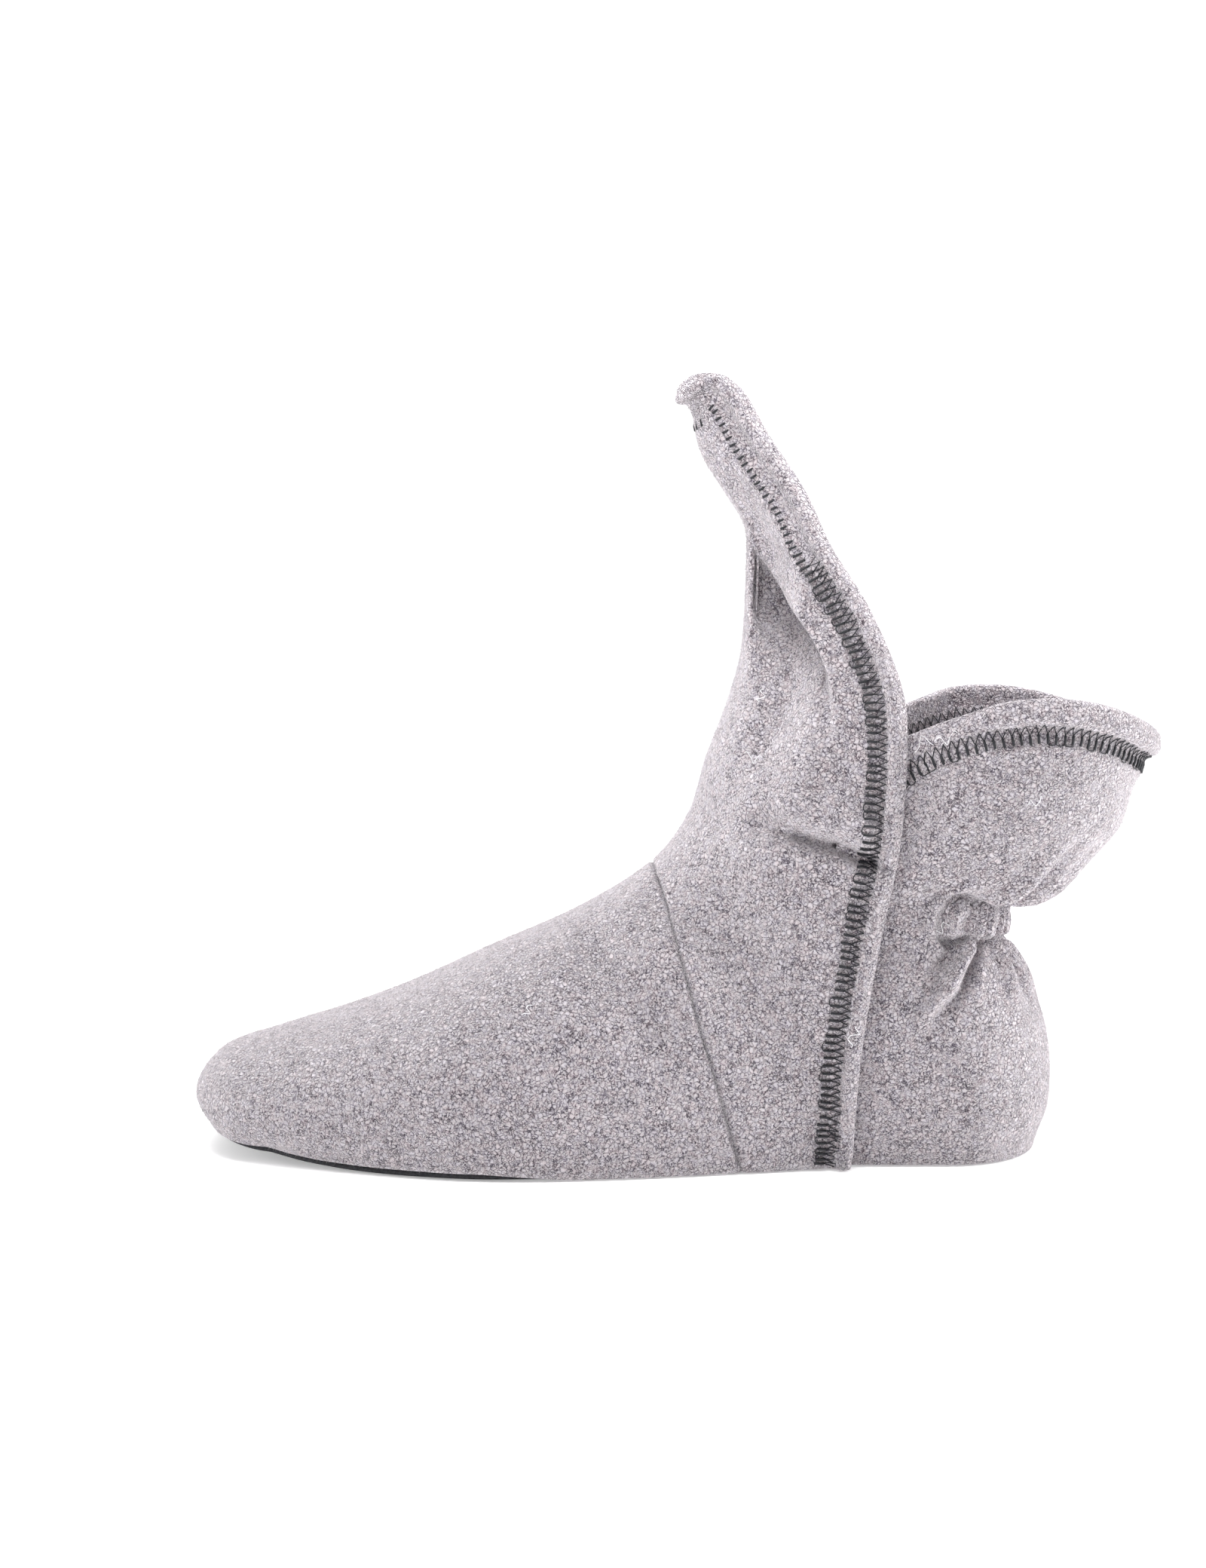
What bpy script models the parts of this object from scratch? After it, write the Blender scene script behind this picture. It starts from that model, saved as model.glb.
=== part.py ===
"""Left fleece bootie slipper: thin grip sole, insole, hollow upper with a tall front flap,
back quarter with a flared collar, and the elastic casing that gathers it above the heel.

Metres, +Z up, toe towards -X, lateral side towards -Y. The origin lies on the flat sole bottom,
halfway along the foot. The upper is one sheet of sections: each runs from a point on its centre
line, over the foot or round the front of the shaft, down to the sole edge or back to the hem.
"""

import math

import bpy
import numpy as np

# Driving sizes of the foot
FOOT_LENGTH = 0.262
BALL_WIDTH = 0.091
HEEL_WIDTH = 0.062
INSTEP_HEIGHT = 0.088
TOE_SPRING = 0.006
BELLY = 0.0045
TIP_ROW = 0.0085

# Driving sizes of the shaft, flap, collar and gathered waist
ANKLE_WIDTH = 0.076
FLAP_HEIGHT = 0.2355
COLLAR_HEIGHT = 0.138
COLLAR_WIDTH = 0.088
COLLAR_REACH = 0.1625
HEEL_BULGE = 0.0045
WAIST_HEIGHT = 0.066
WAIST_DEPTH = 0.012
WAIST_WIDTH = 0.062

# Walls, hems and clearances
FLEECE = 0.0026
HEM_STEP = 0.0014
HEM_WIDTH = 0.0085
SOLE_THICKNESS = 0.0020
INSOLE_THICKNESS = 0.0032
CASING_THICKNESS = 0.0020
LAP = 0.017
CLEARANCE = 0.0003
LAP_CLEARANCE = 0.0006
INSOLE_EASE = 0.0021
LAP_REST = 0.004
LAP_BLEND = 0.003
COLLAR_OPENING_SLOPE = 0.75
HEM_FALL = 0.6

# Faces of each sheet, along it and across it
UPPER_GRID = (50, 32)
QUARTER_GRID = (20, 48)
OUTLINE_STEPS = 18

# Plan of the sole: share of the length from the toe, shares of the ball width (centre, half)
OUTLINE_COLUMNS = ("along", "centre", "half")
OUTLINE = (
    (0.090, 0.040, 0.320),
    (0.130, 0.034, 0.382),
    (0.185, 0.022, 0.436),
    (0.260, 0.000, 0.480),
    (0.340, -0.020, 0.500),
    (0.450, -0.045, 0.470),
    (0.580, -0.045, 0.410),
    (0.720, -0.025, 0.360),
    (0.880, 0.000, 0.330),
)
HEEL_ALONG = 0.988
SPRING_START = 0.24
NARROWING = (0.40, 0.88)

# Foot sections: edge and ridge as shares of the length from the toe, ridge height as a share of
# the instep height, roundness of the arch, ridge offset as a share of the ball width, and how
# much of the belly the side has
FOOT_COLUMNS = ("edge", "ridge", "height", "round", "offset", "belly")
FOOT_SECTIONS = (
    (0.090, 0.008, 0.000, 2.05, 0.040, 0.55),
    (0.098, -0.009, 0.200, 2.15, 0.045, 0.61),
    (0.125, 0.020, 0.325, 2.20, 0.050, 0.67),
    (0.168, 0.086, 0.395, 2.25, 0.055, 0.73),
    (0.238, 0.172, 0.475, 2.30, 0.050, 0.78),
    (0.315, 0.256, 0.572, 2.30, 0.040, 0.83),
    (0.395, 0.340, 0.690, 2.30, 0.030, 0.87),
    (0.505, 0.448, 0.835, 2.35, 0.020, 0.92),
    (0.633, 0.534, 1.000, 2.40, 0.010, 0.96),
    (0.756, 0.577, 1.170, 2.40, 0.000, 1.00),
)

# Shaft sections: ridge and hem as shares of the length, their heights as shares of the flap
# height, hem half width as a share of the ankle width, roundness, depth of the front hollow
SHAFT_COLUMNS = (
    "ridge", "ridge_height", "hem", "hem_height", "half", "round", "hollow", "belly")
SHAFT_SECTIONS = (
    (0.597, 0.508, 0.764, 0.165, 0.500, 2.30, 0.00, 0.50),
    (0.615, 0.560, 0.783, 0.300, 0.490, 2.20, 0.03, 0.37),
    (0.629, 0.606, 0.802, 0.415, 0.495, 2.10, 0.10, 0.25),
    (0.638, 0.646, 0.808, 0.530, 0.490, 2.05, 0.22, 0.12),
    (0.642, 0.697, 0.803, 0.610, 0.440, 2.00, 0.34, 0.00),
    (0.644, 0.772, 0.770, 0.706, 0.350, 2.00, 0.38, 0.00),
    (0.641, 0.814, 0.728, 0.784, 0.280, 2.00, 0.26, 0.00),
    (0.618, 0.856, 0.699, 0.853, 0.225, 2.00, 0.12, 0.00),
    (0.592, 0.902, 0.660, 0.920, 0.175, 2.00, 0.04, 0.00),
    (0.580, 0.948, 0.632, 0.975, 0.135, 2.00, 0.00, 0.00),
    (0.571, 0.975, 0.614, 0.997, 0.110, 2.00, 0.00, 0.00),
)
# Sides between which the front hollow sets in, is full, and goes out again
HOLLOW_SPAN = (0.10, 0.42, 0.46, 0.62)
# The belly's curve side**2 * (1 - side) is at most 4 / 27, and this makes that 1
BELLY_SCALE = 27 / 4
# Sides and sections between which the normals are read, clear of the borders and the ridge
NORMAL_SIDES = (0.02, 0.97)
END_ROW = 0.05
NORMAL_STEP = 0.01
LOWEST_LAP_ROWS = 1.5
LAP_ROWS = 400

# Back quarter levels: height of the back centre between sole and waist (0 to 1) or waist and
# collar (1 to 2), its reach past the heel and past the waist, its half width between the heel,
# waist and collar widths, and how far the side rises over the straight line to the back centre.
QUARTER_COLUMNS = ("level", "heel_reach", "collar_reach", "heel", "waist", "collar", "arch")
QUARTER_LEVELS = (
    (0.00, 0.00, 0.00, 1.00, 0.00, 0.00, 0.00),
    (0.20, 1.00, 0.00, 1.11, 0.00, 0.00, 0.00),
    (0.50, 0.90, 0.00, 1.14, 0.00, 0.00, 0.00),
    (0.78, 0.10, -0.16, 0.60, 0.50, 0.00, 0.14),
    (0.92, 0.00, -0.62, 0.20, 0.82, 0.00, 0.28),
    (1.00, 0.00, -1.00, 0.00, 1.00, 0.00, 0.36),
    (1.15, 0.00, -0.78, 0.00, 0.92, 0.08, 0.42),
    (1.28, 0.00, 0.40, 0.00, 0.55, 0.42, 0.48),
    (1.52, 0.00, 1.60, 0.00, 0.22, 0.76, 0.64),
    (1.76, 0.00, 1.98, 0.00, 0.08, 0.92, 0.82),
    (2.00, 0.00, 2.42, 0.00, 0.00, 1.00, 1.00),
)
COLLAR_ARCH = 0.017
COLLAR_DROP = 0.012
COLLAR_FRONT_DROP = 0.008
LATERAL_DROP = 0.0035
QUARTER_ROUND = 2.1
HEEL_SPAN = 0.52
LAP_SIDES = (0.60, 0.72)
SHARP_ANGLE = 40

# Elastic casing: levels of its two seams, how far round it runs, thinning towards the seams
CASING_LEVELS = (0.985, 1.151)
CASING_END = 0.42
CASING_CROWN = 0.5


def table(columns, rows):
    """The rows as one array per named column."""
    return dict(zip(columns, np.array(rows, float).T))


def smooth_rows(values, at):
    """Cubic through evenly numbered values, read at the row numbers of `at`."""
    values = np.asarray(values, float)
    padded = np.concatenate([[2 * values[0] - values[1]], values, [2 * values[-1] - values[-2]]])
    row = np.clip(np.floor(at).astype(int), 0, len(values) - 2)
    part = at - row
    before, start, end, after = (padded[row + step] for step in range(4))
    bend = 2 * before - 5 * start + 4 * end - after
    twist = 3 * (start - end) + after - before
    return start + 0.5 * part * (end - before + part * (bend + part * twist))


def smooth_through(along, values, at):
    """Cubic through (along, values) pairs with rising `along`, read at `at`."""
    return smooth_rows(values, np.interp(at, along, np.arange(len(along))))


def ease(low, high, value):
    """0 up to low, 1 from high on, and a smooth rise between them."""
    part = np.clip((value - low) / (high - low), 0, 1)
    return part * part * (3 - 2 * part)


def along_to_x(along):
    """Place of a share of the foot length, counted from the toe."""
    return (along - 0.5) * FOOT_LENGTH


def spring(x):
    """Lift of the sole under the toe: nothing behind the ball, then a parabola."""
    ahead = (along_to_x(SPRING_START) - x) / (SPRING_START * FOOT_LENGTH)
    return TOE_SPRING * np.clip(ahead, 0, 1) ** 2


SOLE = table(OUTLINE_COLUMNS, OUTLINE)


def width_scale(along):
    """The ball width in front, going over to the heel width behind the arch."""
    heel_share = SOLE["half"][-1] * 2
    return BALL_WIDTH + (HEEL_WIDTH / heel_share - BALL_WIDTH) * ease(*NARROWING, along)


def sole_sides(along):
    """Centre and half width of the sole between the toe cap and the heel round."""
    scale = width_scale(along)
    centre = smooth_through(SOLE["along"], SOLE["centre"], along) * scale
    half = smooth_through(SOLE["along"], SOLE["half"], along) * scale
    return centre, half


def upper_rows():
    """All sections of the upper, from the toe to the flap tip, one array per quantity."""
    foot = table(FOOT_COLUMNS, FOOT_SECTIONS)
    shaft = table(SHAFT_COLUMNS, SHAFT_SECTIONS)
    centre, half = sole_sides(foot["edge"])
    edge_x = along_to_x(foot["edge"])
    base = SOLE_THICKNESS + CLEARANCE + spring(edge_x)
    toe_lift = SOLE_THICKNESS + CLEARANCE + spring(along_to_x(foot["ridge"][0]))
    ridge_z = foot["height"] * INSTEP_HEIGHT
    ridge_z[0] = toe_lift
    shaft_half = shaft["half"] * ANKLE_WIDTH
    none = np.zeros(len(shaft_half))
    return {
        "ridge_x": along_to_x(np.append(foot["ridge"], shaft["ridge"])),
        "ridge_y": np.append(foot["offset"] * BALL_WIDTH, none),
        "ridge_z": np.append(ridge_z, shaft["ridge_height"] * FLAP_HEIGHT),
        "edge_x": along_to_x(np.append(foot["edge"], shaft["hem"])),
        "edge_z": np.append(base, shaft["hem_height"] * FLAP_HEIGHT),
        "middle": np.append(centre, none),
        "half": np.append(half, shaft_half),
        "round": np.append(foot["round"], shaft["round"]),
        "hollow": np.append(np.zeros(len(centre)), shaft["hollow"]),
        "belly": np.append(foot["belly"], shaft["belly"]),
    }


UPPER = upper_rows()
CORNER = len(FOOT_SECTIONS) - 1
LAST = len(UPPER["half"]) - 1


def upper_at(name, row):
    """One quantity of the upper's sections, smooth but for the corner where the hem starts."""
    values = UPPER[name]
    if name not in ("edge_x", "edge_z"):
        return smooth_rows(values, row)
    foot, shaft = values[:CORNER + 1], values[CORNER:]
    return np.where(row < CORNER, smooth_rows(foot, row), smooth_rows(shaft, row - CORNER))


def upper_surface(row, side):
    """Outer face of the upper. side runs from -1 (lateral) over the ridge to 1 (medial).

    Seen from the side a section is the straight line from ridge to edge, and across it
    the sheet follows a superellipse, less the front hollow and plus the belly over the sole.
    """
    at = {name: upper_at(name, row) for name in UPPER}
    turn = np.abs(side) * math.pi / 2
    power = 2 / at["round"]
    across = np.sin(turn) ** power
    up = np.clip(np.cos(turn), 0, 1) ** power
    rise, full, fall, out = HOLLOW_SPAN
    hollow = ease(rise, full, np.abs(side)) * (1 - ease(fall, out, np.abs(side)))
    belly = BELLY * at["belly"] * BELLY_SCALE * side**2 * (1 - np.abs(side))
    reach = at["half"] * (across - at["hollow"] * hollow) + belly
    x = at["edge_x"] + (at["ridge_x"] - at["edge_x"]) * up
    y = at["ridge_y"] + (at["middle"] - at["ridge_y"]) * across + np.sign(side) * reach
    z = at["edge_z"] + (at["ridge_z"] - at["edge_z"]) * up
    return np.stack([x, y, z], axis=-1)


def outward(surface, u, v):
    """Unit normals of surface(u, v), by differences along both of its directions."""
    along = surface(u + NORMAL_STEP, v) - surface(u - NORMAL_STEP, v)
    across = surface(u, v + NORMAL_STEP) - surface(u, v - NORMAL_STEP)
    normal = np.cross(along, across)
    return normal / np.linalg.norm(normal, axis=-1, keepdims=True)


def off_the_borders(side):
    """Sides moved a little in from the borders and off the centre line."""
    least, most = NORMAL_SIDES
    return np.where(side < 0, -1, 1) * np.clip(np.abs(side), least, most)


def upper_normal(row, side):
    """Outward normals of the upper, read a little inside its border and off the ridge line."""
    return outward(upper_surface, np.clip(row, END_ROW, LAST - END_ROW), off_the_borders(side))


def hem_share(row, side):
    """1 on the turned hem along the rear edges and round the tip, 0 off it."""
    at = {name: upper_at(name, row) for name in UPPER}
    up = np.clip(np.cos(np.abs(side) * math.pi / 2), 0, 1) ** (2 / at["round"])
    long = np.hypot(at["ridge_x"] - at["edge_x"], at["ridge_z"] - at["edge_z"])
    inside = np.minimum(up * long, (LAST - row) * TIP_ROW)
    return (1 - ease(HEM_FALL * HEM_WIDTH, HEM_WIDTH, inside)) * np.clip(row - CORNER, 0, 1)


def side_of_upper(x, z, side):
    """|y| of the upper's inner face, less the lap clearance, over points of the side view.

    The section whose straight line passes through (x, z) is found among finely spaced rows.
    """
    rows = np.linspace(CORNER - LOWEST_LAP_ROWS, LAST, LAP_ROWS)
    ridge = np.stack([upper_at("ridge_x", rows), upper_at("ridge_z", rows)])
    edge = np.stack([upper_at("edge_x", rows), upper_at("edge_z", rows)])
    line = edge - ridge
    across = line[0] * (z[..., None] - ridge[1]) - line[1] * (x[..., None] - ridge[0])
    row = rows[np.argmin(np.abs(across) / np.hypot(line[0], line[1]), axis=-1)]
    start_x, end_x = upper_at("ridge_x", row), upper_at("edge_x", row)
    start_z, end_z = upper_at("ridge_z", row), upper_at("edge_z", row)
    length = (end_x - start_x) ** 2 + (end_z - start_z) ** 2
    share = ((x - start_x) * (end_x - start_x) + (z - start_z) * (end_z - start_z)) / length
    up = np.clip(1 - share, 0, 1) ** (upper_at("round", row) / 2)
    turn = np.maximum(np.arccos(up) * 2 / math.pi, NORMAL_SIDES[0])
    wall = (FLEECE + LAP_CLEARANCE) / np.abs(upper_normal(row, side * turn)[..., 1])
    return np.abs(upper_surface(row, side * turn)[..., 1]) - wall


BACK = table(QUARTER_COLUMNS, QUARTER_LEVELS)


def quarter_rows():
    """Back centre, front margin and half width of the back quarter at each level."""
    base = SOLE_THICKNESS + CLEARANCE
    back_top = COLLAR_HEIGHT - COLLAR_DROP
    level = BACK["level"]
    lower = base + np.minimum(level, 1) * (WAIST_HEIGHT - base)
    back_z = lower + np.maximum(level - 1, 0) * (back_top - WAIST_HEIGHT)
    heel_x = along_to_x(HEEL_ALONG)
    flare = (COLLAR_REACH - heel_x) / BACK["collar_reach"][-1]
    reach = BACK["collar_reach"]
    back_x = heel_x + BACK["heel_reach"] * HEEL_BULGE
    back_x = back_x + np.where(reach < 0, WAIST_DEPTH, flare) * reach
    half = BACK["heel"] * HEEL_WIDTH + BACK["waist"] * WAIST_WIDTH + BACK["collar"] * COLLAR_WIDTH
    side_z = back_z - BACK["arch"] * COLLAR_FRONT_DROP
    hem_z, hem_x = UPPER["edge_z"][CORNER:], UPPER["edge_x"][CORNER:]
    return {
        "back_x": back_x,
        "back_z": back_z,
        "front_x": smooth_through(hem_z, hem_x, side_z) - LAP,
        "front_z": side_z,
        "arch": BACK["arch"] * COLLAR_ARCH,
        "drop": BACK["arch"] * LATERAL_DROP,
        "half": half / 2,
    }


QUARTER = quarter_rows()
TOP = len(QUARTER_LEVELS) - 1


def quarter_surface(row, side):
    """Outer face of the back quarter. side runs from -1 (lateral front margin) to 1 (medial).

    Each level is a half superellipse round the heel with a straight run forward at each side.
    It is kept inside the upper where the two lap, and opens out behind the hem.
    """
    at = {name: smooth_rows(values, row) for name, values in QUARTER.items()}
    turn = np.minimum(np.abs(side) / HEEL_SPAN, 1) * math.pi / 2
    straight = np.maximum(np.abs(side) - HEEL_SPAN, 0) / (1 - HEEL_SPAN)
    power = 2 / QUARTER_ROUND
    start = at["back_x"] - at["half"]
    x = start + at["half"] * np.clip(np.cos(turn), 0, 1) ** power
    x = x + (at["front_x"] - start) * straight
    across = np.sin(turn) ** power
    share = (x - at["front_x"]) / (at["back_x"] - at["front_x"])
    z = at["front_z"] + (at["back_z"] - at["front_z"]) * share
    z = z + 4 * at["arch"] * share * (1 - share)
    z = z - np.where(side < 0, at["drop"], 0) * (1 - share) ** 2
    lateral = side_of_upper(x, z, -1)
    medial = side_of_upper(x, z, 1)
    hem_x = smooth_through(UPPER["edge_z"][CORNER:], UPPER["edge_x"][CORNER:], z)
    behind = np.maximum(x - hem_x - LAP_REST, 0)
    room = np.where(side < 0, lateral, medial) + COLLAR_OPENING_SLOPE * behind
    own = at["half"] * across
    near = np.maximum(LAP_BLEND - np.abs(own - room), 0) / LAP_BLEND
    reach = np.minimum(own, room) - near * near * LAP_BLEND / 4
    return np.stack([x, np.sign(side) * np.maximum(reach, 0), z], axis=-1)


def quarter_normal(row, side):
    """Outward normals of the back quarter, read a little inside its border."""
    return -outward(quarter_surface, np.clip(row, END_ROW, TOP - END_ROW), off_the_borders(side))


def collar_hem(row, side):
    """1 on the turned hem along the collar where it is clear of the lap, 0 below it."""
    below = QUARTER["back_z"][-1] - smooth_rows(QUARTER["back_z"], row)
    return (1 - ease(HEM_FALL * HEM_WIDTH, HEM_WIDTH, below)) * (1 - ease(*LAP_SIDES, np.abs(side)))


def shell(outer, inner):
    """Vertices and outward quads of a closed wall between two grids of the same size."""
    rows, columns = outer.shape[:2]
    count = rows * columns
    index = np.arange(count).reshape(rows, columns)
    quads = np.stack([index[:-1, :-1], index[:-1, 1:], index[1:, 1:], index[1:, :-1]], axis=-1)
    outer_faces = quads.reshape(-1, 4)
    inner_faces = outer_faces[:, ::-1] + count
    loop = np.concatenate([index[0, :-1], index[:-1, -1], index[-1, :0:-1], index[:0:-1, 0]])
    following = np.roll(loop, -1)
    rim = np.stack([following, loop, loop + count, following + count], axis=-1)
    points = np.concatenate([outer.reshape(-1, 3), inner.reshape(-1, 3)])
    return points, np.concatenate([outer_faces, inner_faces, rim])


def slab(outline, low, high):
    """Vertices and faces of a plate: `outline` is its plan, `low` and `high` its two faces."""
    count = len(outline)
    floor = np.column_stack([outline, low])
    top = np.column_stack([outline, high])
    half = count // 2
    faces = []
    for step in range(count):
        following = (step + 1) % count
        faces.append((step, following, following + count, step + count))
    for step in range(half - 1):
        left, next_left = step, step + 1
        right, next_right = count - 1 - step, count - 2 - step
        if next_left != next_right:
            faces.append((left, right, next_right, next_left))
            faces.append((left + count, next_left + count, next_right + count, right + count))
    return np.concatenate([floor, top]), faces


def material(name, colour, roughness):
    """Plain Principled material."""
    made = bpy.data.materials.new(name)
    made.use_nodes = True
    shader = made.node_tree.nodes["Principled BSDF"]
    shader.inputs["Base Color"].default_value = (*colour, 1)
    shader.inputs["Roughness"].default_value = roughness
    made.diffuse_color = (*colour, 1)
    return made


def add_piece(name, points, faces, finish):
    """One closed solid as an object of its own."""
    mesh = bpy.data.meshes.new(name)
    mesh.from_pydata([tuple(point) for point in points], [], [tuple(face) for face in faces])
    mesh.validate()
    mesh.materials.append(finish)
    mesh.shade_smooth()
    mesh.set_sharp_from_angle(angle=math.radians(SHARP_ANGLE))
    piece = bpy.data.objects.new(name, mesh)
    bpy.context.scene.collection.objects.link(piece)
    return piece


def grid_of(rows, columns, last_row, last_side=1.0, first_row=0.0):
    """Row and side numbers of an even grid over a sheet."""
    row = np.linspace(first_row, last_row, rows + 1)
    side = np.linspace(-last_side, last_side, columns + 1)
    return np.meshgrid(row, side, indexing="ij")


def make_upper(finish):
    """Hollow upper: vamp, front of the shaft and flap as one wall, thicker along its hem."""
    row, side = grid_of(*UPPER_GRID, LAST)
    face = upper_surface(row, side)
    normal = upper_normal(row, side)
    outer = face + normal * (HEM_STEP * hem_share(row, side))[..., None]
    inner = face - normal * FLEECE
    on_sole = (np.abs(side) == 1) & (row <= CORNER)
    on_sole[0] = True
    inner[..., 2] = np.where(on_sole, outer[..., 2], inner[..., 2])
    points, faces = shell(outer, inner)
    return add_piece("upper", points, faces[:, ::-1], finish)


def make_back_quarter(finish):
    """Back quarter from one lapped front margin round the heel to the other."""
    row, side = grid_of(*QUARTER_GRID, TOP)
    face = quarter_surface(row, side)
    normal = quarter_normal(row, side)
    outer = face + normal * (HEM_STEP * collar_hem(row, side))[..., None]
    inner = face - normal * FLEECE
    inner[0, :, 2] = outer[0, :, 2]
    return add_piece("back_quarter", *shell(outer, inner), finish)


def sole_plan(inset, lap_inset=0.0):
    """Closed plan of the sole, set in from the line under the upper's outer face.

    `inset` holds all round and `lap_inset` is added where the quarter laps inside the upper.
    """
    edge = FOOT_SECTIONS[0][0]
    turn = np.linspace(0, math.pi / 2, OUTLINE_STEPS // 2 + 1)[:-1]
    toe_centre, toe_half = sole_sides(np.array([edge]))
    toe_x, tip_x = along_to_x(edge), along_to_x(FOOT_SECTIONS[0][1])
    cap_x = toe_x + (tip_x - toe_x) * np.cos(turn)
    cap_half = toe_half * np.sin(turn)
    heel_start = QUARTER["back_x"][0] - HEEL_WIDTH / 2
    x = np.linspace(toe_x, heel_start, 2 * OUTLINE_STEPS)
    centre, half = sole_sides(x / FOOT_LENGTH + 0.5)
    heel_turn = np.linspace(0, math.pi / 2, OUTLINE_STEPS // 2 + 1)[1:]
    heel_power = 2 / QUARTER_ROUND
    heel_x = heel_start + HEEL_WIDTH / 2 * np.sin(heel_turn) ** heel_power
    heel_half = half[-1] * np.clip(np.cos(heel_turn), 0, 1) ** heel_power
    heel_centre = np.full(len(heel_x), centre[-1])
    middle = np.concatenate([np.repeat(toe_centre, len(cap_x)), centre, heel_centre])
    wide = np.concatenate([cap_half, half, heel_half])
    x = np.concatenate([cap_x, x, heel_x])
    lateral = np.column_stack([x, middle - wide])
    medial = np.column_stack([x, middle + wide])[-2:0:-1]
    loop = np.concatenate([lateral, medial])
    ahead, behind = np.roll(loop, -1, axis=0), np.roll(loop, 1, axis=0)
    tangent = (ahead - behind) / np.linalg.norm(ahead - behind, axis=1, keepdims=True)
    lap_start, lap_end = UPPER["edge_x"][CORNER] - LAP, UPPER["edge_x"][CORNER]
    lapped = ease(lap_start - LAP, lap_start, loop[:, 0])
    lapped = lapped * (1 - ease(lap_end, lap_end + LAP, loop[:, 0]))
    inset = (inset + lap_inset * lapped)[:, None]
    return loop - inset * np.column_stack([tangent[:, 1], -tangent[:, 0]])


def make_outsole(finish):
    """Thin grip sole, flat from heel to ball and lifted under the toe."""
    plan = sole_plan(0.0)
    low = spring(plan[:, 0])
    return add_piece("outsole", *slab(plan, low, low + SOLE_THICKNESS), finish)


def make_insole(finish):
    """Padded footbed inside the walls."""
    inset = FLEECE + INSOLE_EASE
    plan = sole_plan(inset, inset)
    low = spring(plan[:, 0]) + SOLE_THICKNESS + CLEARANCE
    return add_piece("insole", *slab(plan, low, low + INSOLE_THICKNESS), finish)


def make_elastic_casing(finish):
    """Gathered band over the waist of the back quarter."""
    row, side = grid_of(*QUARTER_GRID, TOP)
    low, high = np.interp(CASING_LEVELS, BACK["level"], np.arange(len(BACK["level"])))
    in_band = (row[:, 0] >= low) & (row[:, 0] <= high)
    round_heel = np.abs(side[0]) <= CASING_END
    row, side = row[np.ix_(in_band, round_heel)], side[np.ix_(in_band, round_heel)]
    crown = 1 - CASING_CROWN * np.abs((row - low) / (high - low) * 2 - 1) ** 2
    face = quarter_surface(row, side)
    normal = quarter_normal(row, side)
    inner = face + normal * LAP_CLEARANCE
    outer = inner + normal * (CASING_THICKNESS * crown)[..., None]
    return add_piece("elastic_casing", *shell(outer, inner), finish)


for old in list(bpy.data.objects):
    bpy.data.objects.remove(old)

fleece = material("polar_fleece", (0.42, 0.38, 0.41), 0.95)
rib = material("gathered_fleece", (0.44, 0.40, 0.43), 0.95)
grip = material("grip_sole", (0.03, 0.03, 0.034), 0.75)
lining = material("fleece_footbed", (0.36, 0.32, 0.35), 0.95)

make_outsole(grip)
make_insole(lining)
make_upper(fleece)
make_back_quarter(fleece)
make_elastic_casing(rib)
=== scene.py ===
"""A left fleece bootie slipper, sewn from two front pieces and a back quarter over a thin sole.

Metres, +Z up, toe towards -X, lateral side towards -Y, sole bottom at z = 0.
"""

import math

import bpy
import numpy as np
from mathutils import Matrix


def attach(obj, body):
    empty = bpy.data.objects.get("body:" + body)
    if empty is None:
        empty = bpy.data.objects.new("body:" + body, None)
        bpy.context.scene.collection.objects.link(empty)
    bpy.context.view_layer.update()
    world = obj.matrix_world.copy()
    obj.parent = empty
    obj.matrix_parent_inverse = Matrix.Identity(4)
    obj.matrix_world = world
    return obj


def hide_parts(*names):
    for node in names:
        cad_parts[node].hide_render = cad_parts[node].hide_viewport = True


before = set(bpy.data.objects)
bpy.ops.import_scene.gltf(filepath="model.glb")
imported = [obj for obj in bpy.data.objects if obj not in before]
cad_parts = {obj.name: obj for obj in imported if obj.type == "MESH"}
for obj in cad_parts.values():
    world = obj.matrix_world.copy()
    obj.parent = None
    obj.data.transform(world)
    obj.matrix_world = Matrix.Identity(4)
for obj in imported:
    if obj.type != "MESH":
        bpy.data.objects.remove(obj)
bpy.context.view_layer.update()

# Grip sole
# A 2 mm sheet of dark knitted grip cloth, cut to the outline of the foot and turned up a little
# under the toe. Its underside carries small moulded rubber dots in plain rows.

FOOT_LENGTH = 0.262
BALL_WIDTH = 0.091
HEEL_WIDTH = 0.062
TOE_SPRING = 0.006
SOLE_THICKNESS = 0.0020
CLEARANCE = 0.0003
HEEL_ALONG = 0.988
HEEL_ROUND = 2.1
SPRING_START = 0.24
NARROWING = (0.40, 0.88)
PLAN_STEPS = 24
MILLIMETRE = 0.001

# Share of the length from the toe, then centre and half width as shares of the ball width
SOLE_OUTLINE = np.array([
    (0.090, 0.040, 0.320),
    (0.130, 0.034, 0.382),
    (0.185, 0.022, 0.436),
    (0.260, 0.000, 0.480),
    (0.340, -0.020, 0.500),
    (0.450, -0.045, 0.470),
    (0.580, -0.045, 0.410),
    (0.720, -0.025, 0.360),
    (0.880, 0.000, 0.330),
])
TOE_CAP = 0.008
DOT_PITCH = 0.0062
DOT_RADIUS = 0.0015
DOT_HEIGHT = 0.0004
DOT_MARGIN = 0.0060
DOT_SIDES = 8
DOT_ROOT = 1.5
DOT_SHOULDER = (0.75, 0.25)
SOLE_ROUNDING = 0.0006
SOLE_HIDDEN = 0.0022
TOE_HIDDEN = 0.0012

# Shares of the length: where the ball ends, and where the hems' lower corners cover more sole
BALL_BLEND = (0.33, 0.45)
CORNER_SPAN = (0.68, 0.76, 0.86, 0.94)
CORNER_HIDDEN = 1.6


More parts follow.
